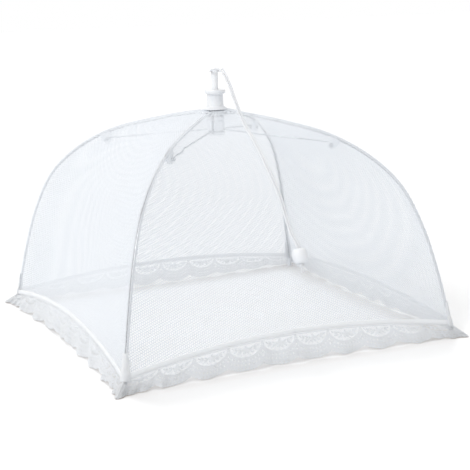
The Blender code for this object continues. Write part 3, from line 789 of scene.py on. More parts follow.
hubSettings = {
    "sides": 64,
    "seatGap": 0.0003,
    "runningGap": 0.0002,
    "eyePlay": 0.00025,
    "ribWire": 0.0018,
    "stretcherWire": 0.0016,
    "ringWire": 0.0010,
    "pivotRadius": 0.0068,
    "ribPivot": 0.2055,
    "runnerPivot": 0.1905,
    "tubeRadius": 0.0033,
    "tubeDome": 0.0016,
    "eyeletRadius": 0.0015,
    "eyeletDepth": 0.0036,
    "notchRadius": 0.0086,
    "notchChamfer": 0.0006,
    "notchFloor": 0.00165,
    "grooveHeight": 0.0017,
    "toolPast": 0.004,
    "collarHeight": 0.0192,
    "collarDish": 0.0005,
    "flangeRadius": 0.0102,
    "flangeThickness": 0.0040,
    "flangeRound": 0.0009,
    "barrelRadius": 0.0081,
    "barrelTaper": 0.0003,
    "footRadius": 0.0115,
    "footRim": 0.0009,
    "footCone": 0.0030,
    "spigotRadius": 0.0052,
    "washerRadius": 0.0098,
    "washerLip": 0.0004,
    "edge": 0.00022,
}


def notchRings(bottom, top, pivot, sizes):
    outer = sizes["notchRadius"]
    chamfer = sizes["notchChamfer"]
    groove = sizes["pivotRadius"] - sizes["ringWire"] / 2 - sizes["seatGap"]
    half = sizes["grooveHeight"] / 2
    return [
        (outer - chamfer, top),
        (outer, top - chamfer),
        (outer, pivot + half),
        (groove, pivot + half),
        (groove, pivot - half),
        (outer, pivot - half),
        (outer, bottom + chamfer),
        (outer - chamfer, bottom),
    ]


def makeRibNotch(sizes):
    bore = sizes["tubeRadius"] + sizes["runningGap"]
    reach = eyeReach(sizes["ribWire"])
    top = sizes["ribPivot"] + reach + sizes["seatGap"]
    bottom = sizes["ribPivot"] - reach - sizes["seatGap"] - sizes["notchFloor"]
    rings = notchRings(bottom, top, sizes["ribPivot"], sizes)
    rings = [*rings, (bore, bottom), (bore, top), rings[0]]
    notch = ringStack("hub_rib_notch", rings, sizes["sides"])
    return cutSlots(notch, sizes["ribWire"], sizes["ribPivot"], top)


def makeWasher(sizes):
    low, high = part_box("fabric_washer")
    inner = sizes["spigotRadius"] + sizes["seatGap"]
    outer, lip = sizes["washerRadius"], sizes["washerLip"]
    rings = [
        (outer - lip, high.z),
        (outer, high.z - lip),
        (outer, low.z + lip),
        (outer - lip, low.z),
        (inner, low.z),
        (inner, high.z),
        (outer - lip, high.z),
    ]
    return roundEdges(ringStack("hub_washer", rings, sizes["sides"]), 0.00012)


def makeCollar(sizes):
    low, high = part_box("crown_collar")
    top = high.z
    bore = sizes["tubeRadius"] + sizes["runningGap"]
    flange = top - sizes["flangeThickness"]
    foot = top - sizes["collarHeight"]
    edge = sizes["flangeRound"]
    rim = sizes["flangeRadius"]
    barrel = sizes["barrelRadius"]
    waist = barrel - sizes["barrelTaper"]
    cone = foot + sizes["footCone"]
    wide = sizes["footRadius"]
    step = foot + sizes["footRim"]
    dish = top - sizes["collarDish"]
    rings = [
        (bore, dish),
        (bore + 0.0010, dish),  # The mouth's low seat and its lip
        (bore + 0.0016, top),
        (rim - edge, top),
        (rim - edge * 0.3, top - edge * 0.3),
        (rim, top - edge),
        (rim, flange + edge),
        (rim - edge * 0.3, flange + edge * 0.3),
        (rim - edge, flange),
        (waist + 0.0006, flange - edge * 0.2),  # A fillet under the flange
        (waist, flange - edge),
        (barrel, cone + 0.0008),
        (barrel + 0.0007, cone - 0.0002),
        (wide - 0.0005, step + 0.0003),
        (wide, step - 0.0001),
        (wide, foot),
        (sizes["spigotRadius"], foot),
        (sizes["spigotRadius"], low.z),
        (bore, low.z),
        (bore, dish),
    ]
    return roundEdges(ringStack("hub_collar", rings, sizes["sides"]), 0.00015)


def makeRunnerNotch(sizes):
    low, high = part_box("runner_notch")
    bottom, top = low.z, high.z
    seat = bottom + sizes["notchFloor"]
    socket = sizes["tubeRadius"] + sizes["seatGap"]
    bowl = sizes["notchRadius"] - sizes["notchChamfer"]
    rings = [
        (0.0008, seat),
        (socket, seat),
        (socket, top),
        *notchRings(bottom, top, sizes["runnerPivot"], sizes)[:-1],
        (bowl + 0.0002, bottom + 0.0002),
        (bowl - 0.0012, bottom),
        (0.0040, bottom),  # A shallow moulding mark under the cup
        (0.0036, bottom + 0.0004),
        (0.0008, bottom + 0.0004),
    ]
    cup = closeBottom(ringStack("hub_runner_notch", rings, sizes["sides"]))
    return cutSlots(cup, sizes["stretcherWire"], sizes["runnerPivot"], top)


def makePlunger(sizes):
    low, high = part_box("runner_tube")
    radius = sizes["tubeRadius"]
    rings = [(radius, low.z)]
    for angle in range(0, 90, 10):
        turn = math.radians(angle)
        rings.append((radius * math.cos(turn), high.z - sizes["tubeDome"] * (1 - math.sin(turn))))
    tube = closeBottom(ringStack("hub_plunger", [*rings, (0.0, high.z)], 48))
    freshSelection()
    bpy.ops.mesh.primitive_cylinder_add(
        vertices=32,
        radius=sizes["eyeletRadius"],
        depth=radius * 4,
        location=(0.0, 0.0, high.z - sizes["eyeletDepth"]),
        rotation=(0.0, math.pi / 2, math.radians(cordSettings["eyeletAzimuth"])),
    )
    return roundEdges(cutWith(tube, [placeInMesh(bpy.context.object)]), 0.00025, 3)


def makeRing(name, height, sizes):
    freshSelection()
    bpy.ops.mesh.primitive_torus_add(
        major_radius=sizes["pivotRadius"],
        minor_radius=sizes["ringWire"] / 2,
        major_segments=72,
        minor_segments=12,
        location=(0.0, 0.0, height),
    )
    ring = bpy.context.object
    ring.name = name
    return shadeByAngle(placeInMesh(ring), 60.0)


ribRing = makeRing("hub_rib_ring_wire", hubSettings["ribPivot"], hubSettings)
runnerRing = makeRing("hub_stretcher_ring_wire", hubSettings["runnerPivot"], hubSettings)
for node, piece, body in (
    ("rib_notch", makeRibNotch(hubSettings), "crown"),
    ("fabric_washer", makeWasher(hubSettings), "crown"),
    ("crown_collar", makeCollar(hubSettings), "crown"),
    ("runner_notch", makeRunnerNotch(hubSettings), "runner"),
    ("runner_tube", makePlunger(hubSettings), "runner"),
):
    settle(piece, "moulded_plastic", node, body)
settle(ribRing, "zinc_wire", "rib_ring_wire", "crown")
settle(runnerRing, "zinc_wire", "stretcher_ring_wire", "runner")
print("hub made")


# The ribs' curve and the cloth's surface over it, as the solids have them

shapeSettings = {
    "ribEndRadius": 0.232,
    "ribEndHeight": 0.003,
    "tape": 0.0005,
    "net": 0.0005,
    "seamGap": 0.0009,
    "netStartRadius": 0.0090,
    "netDrawIn": 0.0100,
    "hemWidth": 0.0050,
    "hemCornerHeight": 0.0100,
    "hemDrawIn": 0.0060,
    "hemRise": 0.0150,
    "laceCornerRadius": 0.2490,
    "laceDrawIn": 0.0100,
    "laceFloorGap": 0.0006,
    "laceFans": 10,
    "laceGathers": 8,
    "laceGather": 0.0030,
    "ridgeRound": 0.82,
}
ribShapeShares = (
    (0.0, 1.0),
    (0.05, 1.004),
    (0.28, 0.962),
    (0.49, 0.901),
    (0.66, 0.803),
    (0.785, 0.678),
    (0.875, 0.495),
    (0.935, 0.3),
    (0.98, 0.107),
    (1.0, 0.0),
)
ridge = math.sqrt(2.0)  # A rib lies on the diagonal of two sides


def eyeRadius(wireSize):
    return hubSettings["ringWire"] / 2 + hubSettings["eyePlay"] + wireSize / 2


def makeRibCurve(sizes, hub):
    start = hub["ribPivot"] + eyeRadius(hub["ribWire"])
    points = [
        (
            hub["pivotRadius"] + (sizes["ribEndRadius"] - hub["pivotRadius"]) * out,
            sizes["ribEndHeight"] + (start - sizes["ribEndHeight"]) * up,
        )
        for out, up in ribShapeShares
    ]
    return smoothCurve(points, 12)


ribCurve = makeRibCurve(shapeSettings, hubSettings)
ribRun = runOf(ribCurve)
ribLength = ribRun[-1]


def ribPoints(share, offset=0.0):
    # Radius and height at shares of the rib's length, moved outwards, and the direction there
    run = np.clip(np.asarray(share, float), 0.0, 1.0) * ribLength
    span = np.clip(np.searchsorted(ribRun, run, side="right") - 1, 0, len(ribRun) - 2)
    part = ((run - ribRun[span]) / (ribRun[span + 1] - ribRun[span]))[..., None]
    place = ribCurve[span] * (1 - part) + ribCurve[span + 1] * part
    steps = unit(np.diff(ribCurve, axis=0))
    here = steps[span]
    behind = steps[np.maximum(span - 1, 0)]
    ahead = steps[np.minimum(span + 1, len(steps) - 1)]
    along = unit((behind + here) * (1 - part) + (here + ahead) * part)
    outward = np.stack([-along[..., 1], along[..., 0]], -1)
    return place + outward * offset, along


def shareFrom(reached):
    before, after = 0.0, 1.0
    for _ in range(40):
        middle = (before + after) / 2
        before, after = (before, middle) if reached(middle) else (middle, after)
    return after


seatGap = hubSettings["seatGap"]
fold = hubSettings["ribWire"] / 2 + seatGap
tapeOffset = ridge * (fold + shapeSettings["tape"] / 2)
netOffset = ridge * (fold + shapeSettings["tape"] + seatGap + shapeSettings["net"] / 2)
hemEnd = shareFrom(lambda share: ribPoints(share)[0][1] <= shapeSettings["hemCornerHeight"])
hemStart = hemEnd - shapeSettings["hemWidth"] / ribLength
netEnd = hemStart - seatGap / ribLength
laceStart = hemEnd + seatGap / ribLength
netStart = shareFrom(
    lambda share: ribPoints(share, netOffset)[0][0] >= shapeSettings["netStartRadius"]
)


def coverPoints(share, across, offset, seam=0.0):
    # Points of the side at azimuth 0. across runs from -1 on one rib to 1 on the other
    sizes = shapeSettings
    share, across = np.broadcast_arrays(np.asarray(share, float), np.asarray(across, float))
    place, _ = ribPoints(share, offset)
    radius, height = place[..., 0], place[..., 1]
    down = share / hemEnd
    sag = 1.0 - across**2
    drawIn = sizes["hemDrawIn"] * down**2 + sizes["netDrawIn"] * 4 * down * (1 - down)
    out = radius / ridge - np.maximum(drawIn, 0.0) * sag
    aside = across * (radius / ridge - seam)
    # Beside a rib the cloth bends round it
    bend = offset * sizes["ridgeRound"]
    turn = np.clip(1 - (radius / ridge - np.abs(aside)) / bend, 0.0, 1.0) * math.pi / 4
    rounded = np.sign(aside) * (radius / ridge - bend * (1 - np.sin(turn)))
    aside = np.where(turn > 0, rounded, aside)
    out = out - bend * (1 - np.cos(turn))
    return np.stack([out, aside, height + sizes["hemRise"] * down**4 * sag], -1)


def lacePoints(fall, across):
    # The frill from the hem, fall 0, to the table, fall 1, with its gathers
    sizes = shapeSettings
    fall, across = np.broadcast_arrays(np.asarray(fall, float), np.asarray(across, float))
    top = coverPoints(np.full(across.shape, laceStart), across, netOffset, sizes["seamGap"])
    half = sizes["laceCornerRadius"] / ridge
    out = half - sizes["laceDrawIn"] * (1 - across**2)
    low = np.full(across.shape, sizes["laceFloorGap"])
    foot = np.stack([out, across * (half - sizes["seamGap"]), low], -1)
    point = top + (foot - top) * fall[..., None]
    gather = np.sin(math.pi * sizes["laceGathers"] * (across + 1) / 2) ** 2
    point[..., 0] -= sizes["laceGather"] * fall * gather
    return point


def turned(points, degrees):
    turn = np.array(Matrix.Rotation(math.radians(degrees), 3, "Z"))
    return np.asarray(points) @ turn.T


def normalsOf(grid):
    down = np.gradient(grid, axis=0)
    along = np.gradient(grid, axis=1)
    normal = np.cross(down, along)
    normal /= np.maximum(np.linalg.norm(normal, axis=-1), 1e-12)[..., None]
    outwards = np.sign((normal[..., 0] + 0.3 * normal[..., 2]).sum())
    return normal * (outwards or 1.0)


def surfaceArea(grid):
    first = np.cross(grid[1:, 1:] - grid[:-1, :-1], grid[1:, :-1] - grid[:-1, 1:])
    return float(np.linalg.norm(first, axis=-1).sum() / 2)


# Wires: four ribs and four stretchers

wireSettings = {
    "roundness": 4,
    "stations": 72,
    "eyeEnd": -20.0,
    "eyeStep": 15.0,
    "clipPlace": 0.3385,
    "clipThickness": 0.0040,
    "pinDrop": 0.0070,
    "pinRadius": 0.0010,
    "hookEnd": -35.0,
    "hookStations": 12,
    "jogFromPin": 0.034,
    "jogLength": 0.014,
    "jogStations": 13,
}


def bentWire(name, points, diameter):
    freshSelection()
    bpy.ops.curve.primitive_bezier_curve_add()
    curve = bpy.context.object.data
    curve.splines.clear()
    curve.dimensions = "3D"
    spline = curve.splines.new("POLY")
    spline.points.add(len(points) - 1)
    for spot, point in zip(spline.points, points):
        spot.co = (*point, 1.0)
    curve.bevel_depth = diameter / 2
    curve.bevel_resolution = wireSettings["roundness"]
    curve.use_fill_caps = True
    bpy.ops.object.convert(target="MESH")
    piece = bpy.context.object
    piece.name = name
    piece.data.name = name
    return shadeByAngle(placeInMesh(piece), 50.0)


def eyeTurns(last):
    # Angles round an eye, from its cut end on over the top
    step = wireSettings["eyeStep"]
    return [math.radians(angle) for angle in np.arange(wireSettings["eyeEnd"], last, -step)]


def ribRoute():
    radius = eyeRadius(hubSettings["ribWire"])
    out, high = hubSettings["pivotRadius"], hubSettings["ribPivot"]
    points = [
        (out + radius * math.cos(turn), 0.0, high + radius * math.sin(turn))
        for turn in eyeTurns(-270.0 + wireSettings["eyeStep"] / 2)
    ]
    places, _ = ribPoints(np.linspace(0.0, 1.0, wireSettings["stations"]))
    return [*points, *[(x, 0.0, z) for x, z in places]]


def pinPlace():
    place, along = ribPoints(wireSettings["clipPlace"])
    inward = np.array([along[1], -along[0]])
    return Vector(place + inward * wireSettings["pinDrop"])


def stretcherRoute():
    # An eye on the runner's ring, a straight wire with a jog, a hook over the pin
    sizes, size = wireSettings, hubSettings["stretcherWire"]
    pin = pinPlace()
    start = Vector((hubSettings["pivotRadius"], hubSettings["runnerPivot"]))
    along = (pin - start).normalized()
    above = Vector((-along.y, along.x))
    reach = (pin - start).length
    eye = eyeRadius(size)
    hook = sizes["pinRadius"] + hubSettings["eyePlay"] + size / 2
    side = sizes["clipThickness"] / 2 + seatGap + size / 2
    points = []
    for turn in eyeTurns(-270.0 - sizes["eyeStep"] / 2):
        place = start + along * (eye * math.cos(turn)) + above * (eye * math.sin(turn))
        points.append((place.x, 0.0, place.y))
    for step in np.linspace(0.0, 1.0, sizes["jogStations"]):
        run = reach - sizes["jogFromPin"] + sizes["jogLength"] * step
        place = start + along * run + above * (eye + (hook - eye) * run / reach)
        points.append((place.x, side * (1 - math.cos(math.pi * step)) / 2, place.y))
    for angle in np.linspace(90.0, sizes["hookEnd"], sizes["hookStations"]):
        turn = math.radians(angle)
        place = pin + along * (hook * math.cos(turn)) + above * (hook * math.sin(turn))
        points.append((place.x, side, place.y))
    return points


for node, route, size, body in (
    ("rib", ribRoute(), hubSettings["ribWire"], "arm"),
    ("stretcher", stretcherRoute(), hubSettings["stretcherWire"], "strut"),
):
    mould = bentWire(node, route, size)
    spreadOverRibs(mould, "made_" + node, "zinc_wire", body, node)
print("wires bent")


# Clips, rivets and tips: the solids' shapes with moulded edges

fittingEdges = {
    "rib_clip": (0.00035, 3, "moulded_plastic", "white_plastic"),
    "clip_rivet": (0.00018, 2, "zinc_wire", "rib_steel"),
    "rib_tip": (0.00040, 3, "moulded_plastic", "white_plastic"),
}


def softenNode(node, edge, segments):
    # A merged copy of a node's mesh, its flat faces whole again and its edges rounded
    piece = linkPiece("made_" + node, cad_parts[node].data.copy())
    editMesh(piece)
    bpy.ops.mesh.remove_doubles(threshold=0.000002)
    bpy.ops.mesh.customdata_custom_splitnormals_clear()
    bpy.ops.mesh.select_all(action="SELECT")
    bpy.ops.mesh.dissolve_limited(angle_limit=math.radians(1.0))
    bpy.ops.object.mode_set(mode="OBJECT")
    return roundEdges(piece, edge, segments, 35.0)


for kind, (edge, segments, finish, slotName) in fittingEdges.items():
    for place in ribAzimuths:
        node = f"{kind}_{place}"
        settle(softenNode(node, edge, segments), finish, node, f"arm_{place}")
print("fittings made")


# Cloth: each side in two halves, between a rib and the middle of the side


def foldWithRib(piece):
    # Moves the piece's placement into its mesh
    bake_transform(piece)
    return piece


def halfName(label, side, half):
    return f"{label}_{side}_{'a' if half < 0 else 'b'}"


def halfAcross(columns, half, crowding=1.0):
    # From one column past the middle to the rib; the first is for the normals and comes off
    across = np.linspace(0.0, 1.0, columns) ** crowding
    return np.concatenate([[-across[1]], across]) * half


netSettings = {
    "rows": 64,
    "columns": 30,
    "crowding": 0.85,
    # Puckers beside the seams and over the hem: height, length, how far they reach
    "pucker": 0.0005,
    "puckerLength": 0.011,
    "puckerBend": (1.7, 0.013, 5),
    "slantLength": 0.0173,
    "slant": 0.8,
    "puckerReach": 0.012,
    "puckerStart": 0.004,
    "hemPucker": 0.6,
    "hemReach": 0.010,
    "hemStart": 0.003,
    # Slack between them: depth, reach, and two uneven waves
    "slack": 0.0016,
    "slackReach": 0.03,
    "slackAside": (0.019, 1.3, 0.041),
    "slackDown": (0.033, 2.1, 0.05),
    # Pleats at the crown
    "pleats": 10,
    "pleatDepth": 0.0006,
    "pleatStart": 0.006,
    "pleatReach": 0.030,
}


def netGrid(half, settings):
    share = np.linspace(netStart, netEnd, settings["rows"])[:, None]
    across = halfAcross(settings["columns"], half, settings["crowding"])[None, :]
    share, across = np.broadcast_arrays(share, across)
    smooth = coverPoints(share, across, netOffset, shapeSettings["seamGap"])
    aside = smooth[..., 1]
    run = share * ribLength
    radius = ribPoints(share, netOffset)[0][..., 0]
    fromSeam = (1 - np.abs(across)) * radius / ridge
    fromHem = (netEnd - share) * ribLength
    fromHub = (share - netStart) * ribLength

    near = np.exp(-fromSeam / settings["puckerReach"]) * fadeIn(fromSeam, settings["puckerStart"])
    hemShare = settings["hemPucker"] * np.exp(-fromHem / settings["hemReach"])
    near += hemShare * fadeIn(fromHem, settings["hemStart"])
    bend, bendLength, bendAcross = settings["puckerBend"]
    slow = bend * np.sin(run / bendLength + bendAcross * across)
    wave = np.sin(2 * math.pi * run / settings["puckerLength"] + slow)
    slanted = run + aside * settings["slant"]
    wave += 0.5 * np.sin(2 * math.pi * slanted / settings["slantLength"])
    highest = 1.5  # Of the two waves, so that the puckers only go inwards

    loose = fadeIn(np.minimum(fromSeam, fromHem), settings["slackReach"])
    loose *= np.clip(fromHub / settings["slackReach"], 0, 1)
    sway = 0.5 + 0.5 * unevenWave(aside, *settings["slackAside"], run)
    sway *= 0.5 + 0.5 * unevenWave(run, *settings["slackDown"], aside)
    inwards = settings["pucker"] * near * (wave - highest) / highest
    inwards = inwards - settings["slack"] * loose * sway

    around = np.arctan2(aside, smooth[..., 0])
    pleat = np.clip((fromHub - settings["pleatStart"]) / settings["pleatStart"], 0, 1)
    pleat = pleat * np.exp(-fromHub / settings["pleatReach"])
    inwards -= settings["pleatDepth"] * pleat * (1 + np.sin(around * 4 * settings["pleats"]))
    grid = smooth + normalsOf(smooth) * inwards[..., None]
    return grid[:, 1:], smooth[:, 1:]


def makeNet(side, half, settings):
    grid, smooth = netGrid(half, settings)
    # The meshes run on halfway between the seam's length and that of the side's middle
    steps = np.linalg.norm(np.diff(smooth, axis=0), axis=-1)
    down = np.concatenate([np.zeros((1, steps.shape[1])), np.cumsum(steps, axis=0)])
    down = 0.5 * down + 0.5 * down[:, :1]
    uvs = np.stack([smooth[..., 1], down], -1)
    points = turned(grid, sideAzimuths[side])
    piece = gridPiece(halfName("net", side, half), points, uvs, flip=half > 0)
    settle(piece, "net_cloth", f"mesh_gore_{side}")
    foldWithRib(piece)
    flat = (float(np.abs(smooth[..., 1]).max()), float(down.max()))
    return piece, flat, surfaceArea(smooth)


nets = {(side, half): makeNet(side, half, netSettings) for side in sideAzimuths for half in (-1, 1)}
print("net cut and stretched")


# Hem: a folded binding with its stitches

hemSettings = {
    "columns": 90,
    "around": 14,
    "girth": 0.0125,
    "thickness": 0.0013,
    "pressed": 0.0001,
    "pucker": 0.00018,
    "puckerWave": (0.0052, 1.1, 0.011),
    "wave": 0.00022,
    "edgeWave": (0.0021, 2.0, 0.0093),
    "stitchPitch": 0.0026,
    "stitchLength": 0.0019,
    "stitchRadius": 0.00016,
    "stitchRise": 0.0011,
}


def bandSection(low, high, normal, thickness, around, swell):
    # Points round a flat band with soft edges, from its lower to its upper edge and back
    middle = (low + high) / 2
    up = (high - low) / 2
    turns = np.linspace(0.0, 2 * math.pi, around + 1)[:-1]
    rise = np.sign(np.sin(turns)) * np.abs(np.sin(turns)) ** 0.75
    thick = np.sign(np.cos(turns)) * np.abs(np.cos(turns)) ** 0.55
    return (
        middle[:, None]
        + up[:, None] * rise[None, :, None]
        + normal[:, None] * (thick[None, :] * (thickness / 2 + swell)[:, None])[..., None]
    )


def closedBand(sections):
    # Faces round and along a row of sections, with both ends filled
    count, around = sections.shape[:2]
    faces = []
    for row in range(count - 1):
        for step in range(around):
            here, after = row * around + step, row * around + (step + 1) % around
            faces.append((here, after, after + around, here + around))
    last = (count - 1) * around
    return [*faces, tuple(range(around - 1, -1, -1)), tuple(range(last, last + around))]


def stitchRow(places, outward, along, length, radius):
    # Small thread ends, each a flattened bead of a few faces
    points, faces, uvs = [], [], []
    shape = ((-1.0, 0.0), (-0.7, 0.8), (0.0, 1.0), (0.7, 0.8), (1.0, 0.0))
    sides = 6
    for place, up, ahead in zip(places, outward, along):
        sideways = np.cross(up, ahead)
        start = len(points)
        for run, size in shape:
            for step in range(sides if size else 1):
                turn = 2 * math.pi * step / sides
                away = (up * math.cos(turn) + sideways * math.sin(turn)) * radius * size
                points.append(place + ahead * run * length / 2 + away)
                uvs.append((radius * turn, run * length / 2))
        first, last = start, len(points) - 1
        for step in range(sides):
            after = (step + 1) % sides
            faces.append((first, start + 1 + after, start + 1 + step))
            for ring in range(2):
                low = start + 1 + ring * sides
                faces.append((low + step, low + after, low + sides + after, low + sides + step))
            faces.append((last - sides + step, last - sides + after, last))
    return points, faces, uvs


def stitchesAlong(line, lift, normal, first, settings):
    # Stitches beside a line, lifted from it along the normals
    run = runOf(line)
    stations = np.arange(first, run[-1], settings["stitchPitch"])
    rows = atStations(stations, run, lift, normal, unit(np.gradient(line, axis=0)))
    return stitchRow(*rows, settings["stitchLength"], settings["stitchRadius"])


def makeHem(side, half, settings):
    across = halfAcross(settings["columns"], half)
    high, low = [
        coverPoints(np.full(across.shape, share), across, netOffset, shapeSettings["seamGap"])
        for share in (hemStart, hemEnd)
    ]
    normal = normalsOf(np.stack([high, low]))[0]
    run = high[:, 1]
    swell = settings["pucker"] * unevenWave(2 * math.pi * run, *settings["puckerWave"], run)
    swell = swell - settings["pressed"]
    shift = settings["wave"] * unevenWave(run, *settings["edgeWave"])
    low = low + unit(low - high) * 0.4 * shift[:, None]
    sections = bandSection(low, high, normal, settings["thickness"], settings["around"], swell)
    sections = (sections + normal[:, None] * (shift * 0.5)[:, None, None])[1:]
    high, low, normal, run, swell, shift = [
        part[1:] for part in (high, low, normal, run, swell, shift)
    ]
    turns = np.linspace(0.0, settings["girth"], settings["around"])
    uvs = np.stack(np.broadcast_arrays(run[:, None], turns[None]), -1)
    points = turned(sections.reshape(-1, 3), sideAzimuths[side])
    name = halfName("hem", side, half)
    piece = meshPiece(name, points, closedBand(sections), uvs.reshape(-1, 2))
    shadeByAngle(makeOutwards(piece), 50.0)
    settle(piece, "binding_cloth", f"hem_binding_{side}")

    line = low + (high - low) * (settings["stitchRise"] / shapeSettings["hemWidth"])
    outer = line + normal * (settings["thickness"] / 2 + swell + shift * 0.5)[:, None]
    first = settings["stitchPitch"] / 2
    points, faces, uvs = stitchesAlong(low, outer, normal, first, settings)
    name = halfName("hem_stitches", side, half)
    stitches = meshPiece(name, turned(points, sideAzimuths[side]), faces, uvs)
    settle(makeOutwards(stitches), "stitch_thread")
    return [foldWithRib(part) for part in (piece, stitches)]


for (side, half), (net, flat, area) in nets.items():
    makeHem(side, half, hemSettings)
print("hems bound")


# Seam tape: a wing down each side of a rib, laced over the wire

tapeSettings = {
    "wing": 0.0030,
    "slit": 0.00062,
    "stations": 120,
    "around": 10,
    "girth": 0.007,
    "thickness": 0.00042,
    "start": 0.08,
    "wave": 0.00012,
    "edgeWave": (0.0011, 1.4, 0.007),
    "loopPitch": 0.0036,
    "loopRadius": 0.00017,
    # The threads' shape, in shares of their reach, and their rise over the wire
    "loopTuck": 0.25,
    "loopShoulder": 0.12,
    "loopLift": 0.00022,
    "shoulderLift": 0.8,
}
# The two sides beside a rib on the X axis: how each is turned, and its rib's end of across
ribSides = ((-45.0, 1.0), (45.0, -1.0))


def makeTape(settings):
    share = np.linspace(settings["start"], netEnd, settings["stations"])
    half = ribPoints(share, tapeOffset)[0][:, 0] / ridge
    run = share * ribLength
    points, faces, uvs, inner = [], [], [], []
    for turn, sign in ribSides:
        wave = settings["wave"] * unevenWave(run, *settings["edgeWave"], shift=sign)
        outerEdge = coverPoints(share, sign * (1 - (settings["wing"] + wave) / half), tapeOffset)
        innerEdge = coverPoints(share, sign * (1 - settings["slit"] / half), tapeOffset)
        normal = normalsOf(np.stack([outerEdge, innerEdge]))[0]
        normal = normal * np.sign(normal[:, 0].mean())
        sections = bandSection(
            outerEdge, innerEdge, normal, settings["thickness"], settings["around"], share * 0.0
        )
        start = len(points)
        points.extend(turned(sections.reshape(-1, 3), turn))
        faces.extend([tuple(i + start for i in face) for face in closedBand(sections)])
        across = np.linspace(0.0, settings["girth"], settings["around"])
        uvs.extend(np.stack(np.broadcast_arrays(across[None], run[:, None]), -1).reshape(-1, 2))
        inner.append(turned(innerEdge + normal * settings["thickness"] / 2, turn))
    return makeOutwards(meshPiece("tape", points, faces, uvs)), inner


def ribNormalAt(place):
    places, along = ribPoints(np.linspace(0.0, 1.0, 400))
    nearest = int(np.argmin(np.hypot(places[:, 0] - place.x, places[:, 1] - place.z)))
    return Vector((-along[nearest, 1], 0.0, along[nearest, 0]))


def makeLoops(inner, settings):
    # Threads that hold the wire between the wings, as short arcs over the slit
    run = runOf(inner[0])
    stations = np.arange(settings["loopPitch"] / 2, run[-1], settings["loopPitch"])
    lines = []
    for first, last in zip(*atStations(stations, run, *inner)):
        place, reach = Vector((first + last) / 2), Vector(last - first)
        first, last = Vector(first), Vector(last)
        lift = ribNormalAt(place) * settings["loopLift"]
        tuck, shoulder = reach * settings["loopTuck"], reach * settings["loopShoulder"]
        raised = lift * settings["shoulderLift"]
        line = (first - tuck, first + shoulder + raised, place + lift)
        line += (last - shoulder + raised, last + tuck)
        lines.append([tuple(p) for p in line])
    return tubesPiece("loops", lines, settings["loopRadius"], 6)


tapeMould, innerEdges = makeTape(tapeSettings)
spreadOverRibs(tapeMould, "made_seam_tape", "tape_cloth", node="seam_tape")
loopMould = makeLoops(innerEdges, tapeSettings)
spreadOverRibs(loopMould, "seam_loops", "stitch_thread")
print("seams taped")


# Corner pockets: a folded patch over each rib's end, under the hems' ends

pocketSettings = {
    "length": 0.0240,
    "past": 0.0012,
    "wing": 0.0052,
    "stations": 40,
    "around": 8,
    "thickness": 0.00060,
    # How high it lies on the cloth, then on the hems, and the step between them
    "rise": 0.0004,
    "lift": 0.0005,
    "stepBefore": 0.0075,
    "stepLength": 0.0007,
    "narrowing": 0.45,
    "narrowReach": 0.006,
    "wave": 0.00016,
    "waveLength": 0.0011,
    "easing": 2,
    "edge": 0.00012,
    "stitchPitch": 0.0024,
    "stitchLength": 0.0016,
    "stitchRadius": 0.00015,
    "stitchShare": 0.9,
}


def makePocket(settings):
    # One patch folded down the ridge, a row of points across at each station, then thickened
    last = hemEnd + settings["past"] / ribLength
    first = last - settings["length"] / ribLength
    share = np.linspace(first, last, settings["stations"])[:, None]
    radius = ribPoints(share, netOffset)[0][..., 0]
    run = (share - share[0]) * ribLength
    narrower = settings["narrowing"] * np.exp(-(run / settings["narrowReach"]) ** 2)
    wing = settings["wing"] * (1 - narrower)
    wing = wing + settings["wave"] * np.sin(run / settings["waveLength"])
    over = hemSettings["thickness"] / 2 + settings["lift"]
    fromStep = run - settings["length"] + settings["stepBefore"]
    step = 1 / (1 + np.exp(-fromStep / settings["stepLength"]))
    rise = settings["rise"] + (over - settings["rise"]) * step
    points, edges = [], []
    for turn, sign in ribSides:
        sides = np.linspace(1.0, 0.0, settings["around"])[None, :]
        across = sign * (1 - sides * wing * ridge / radius)
        grid = coverPoints(np.broadcast_to(share, across.shape), across, netOffset)
        normal = normalsOf(grid)
        normal[:, -1] = normal[:, -2]
        grid = turned(grid + normal * rise[..., None], turn)
        line = grid[:, 0] + (grid[:, 1] - grid[:, 0]) * settings["stitchShare"]
        edges.append((line, turned(normal, turn)[:, 0]))
        points.append(grid if sign > 0 else grid[:, ::-1])
    ridgeLine = (points[0][:, -1] + points[1][:, 0]) / 2
    ridgeLine[:, 1] = 0.0
    grid = np.concatenate([points[0][:, :-1], ridgeLine[:, None], points[1][:, 1:]], axis=1)
    # The two hems meet under the patch, so its ridge is eased round them
    for _ in range(settings["easing"]):
        grid[:, 1:-1] = (grid[:, :-2] + 2 * grid[:, 1:-1] + grid[:, 2:]) / 4
    width = np.linalg.norm(np.diff(grid, axis=1), axis=-1)
    aside = np.concatenate([np.zeros((grid.shape[0], 1)), np.cumsum(width, axis=1)], axis=1)
    uvs = np.stack(np.broadcast_arrays(aside, run), -1)
    piece = makeOutwards(gridPiece("pocket", grid, uvs))
    modify(piece, "SOLIDIFY", thickness=settings["thickness"], offset=0.0)
    return roundEdges(piece, settings["edge"], 2, 50.0), edges


def makePocketStitches(edges, settings):
    points, faces, uvs = [], [], []
    for line, normal in edges:
        lift = line + normal * settings["thickness"] / 2
        made = stitchesAlong(line, lift, normal, settings["stitchPitch"], settings)
        faces += [tuple(i + len(points) for i in face) for face in made[1]]
        points += made[0]
        uvs += made[2]
    return makeOutwards(meshPiece("stitches", points, faces, uvs))


pocketMould, pocketEdges = makePocket(pocketSettings)
stitchMould = makePocketStitches(pocketEdges, pocketSettings)
spreadOverRibs(pocketMould, "corner_pocket", "binding_cloth")
spreadOverRibs(stitchMould, "pocket_stitches", "stitch_thread")
print("corners pocketed")


# Lace: a tulle frill with an embroidered fan, ten fans a side

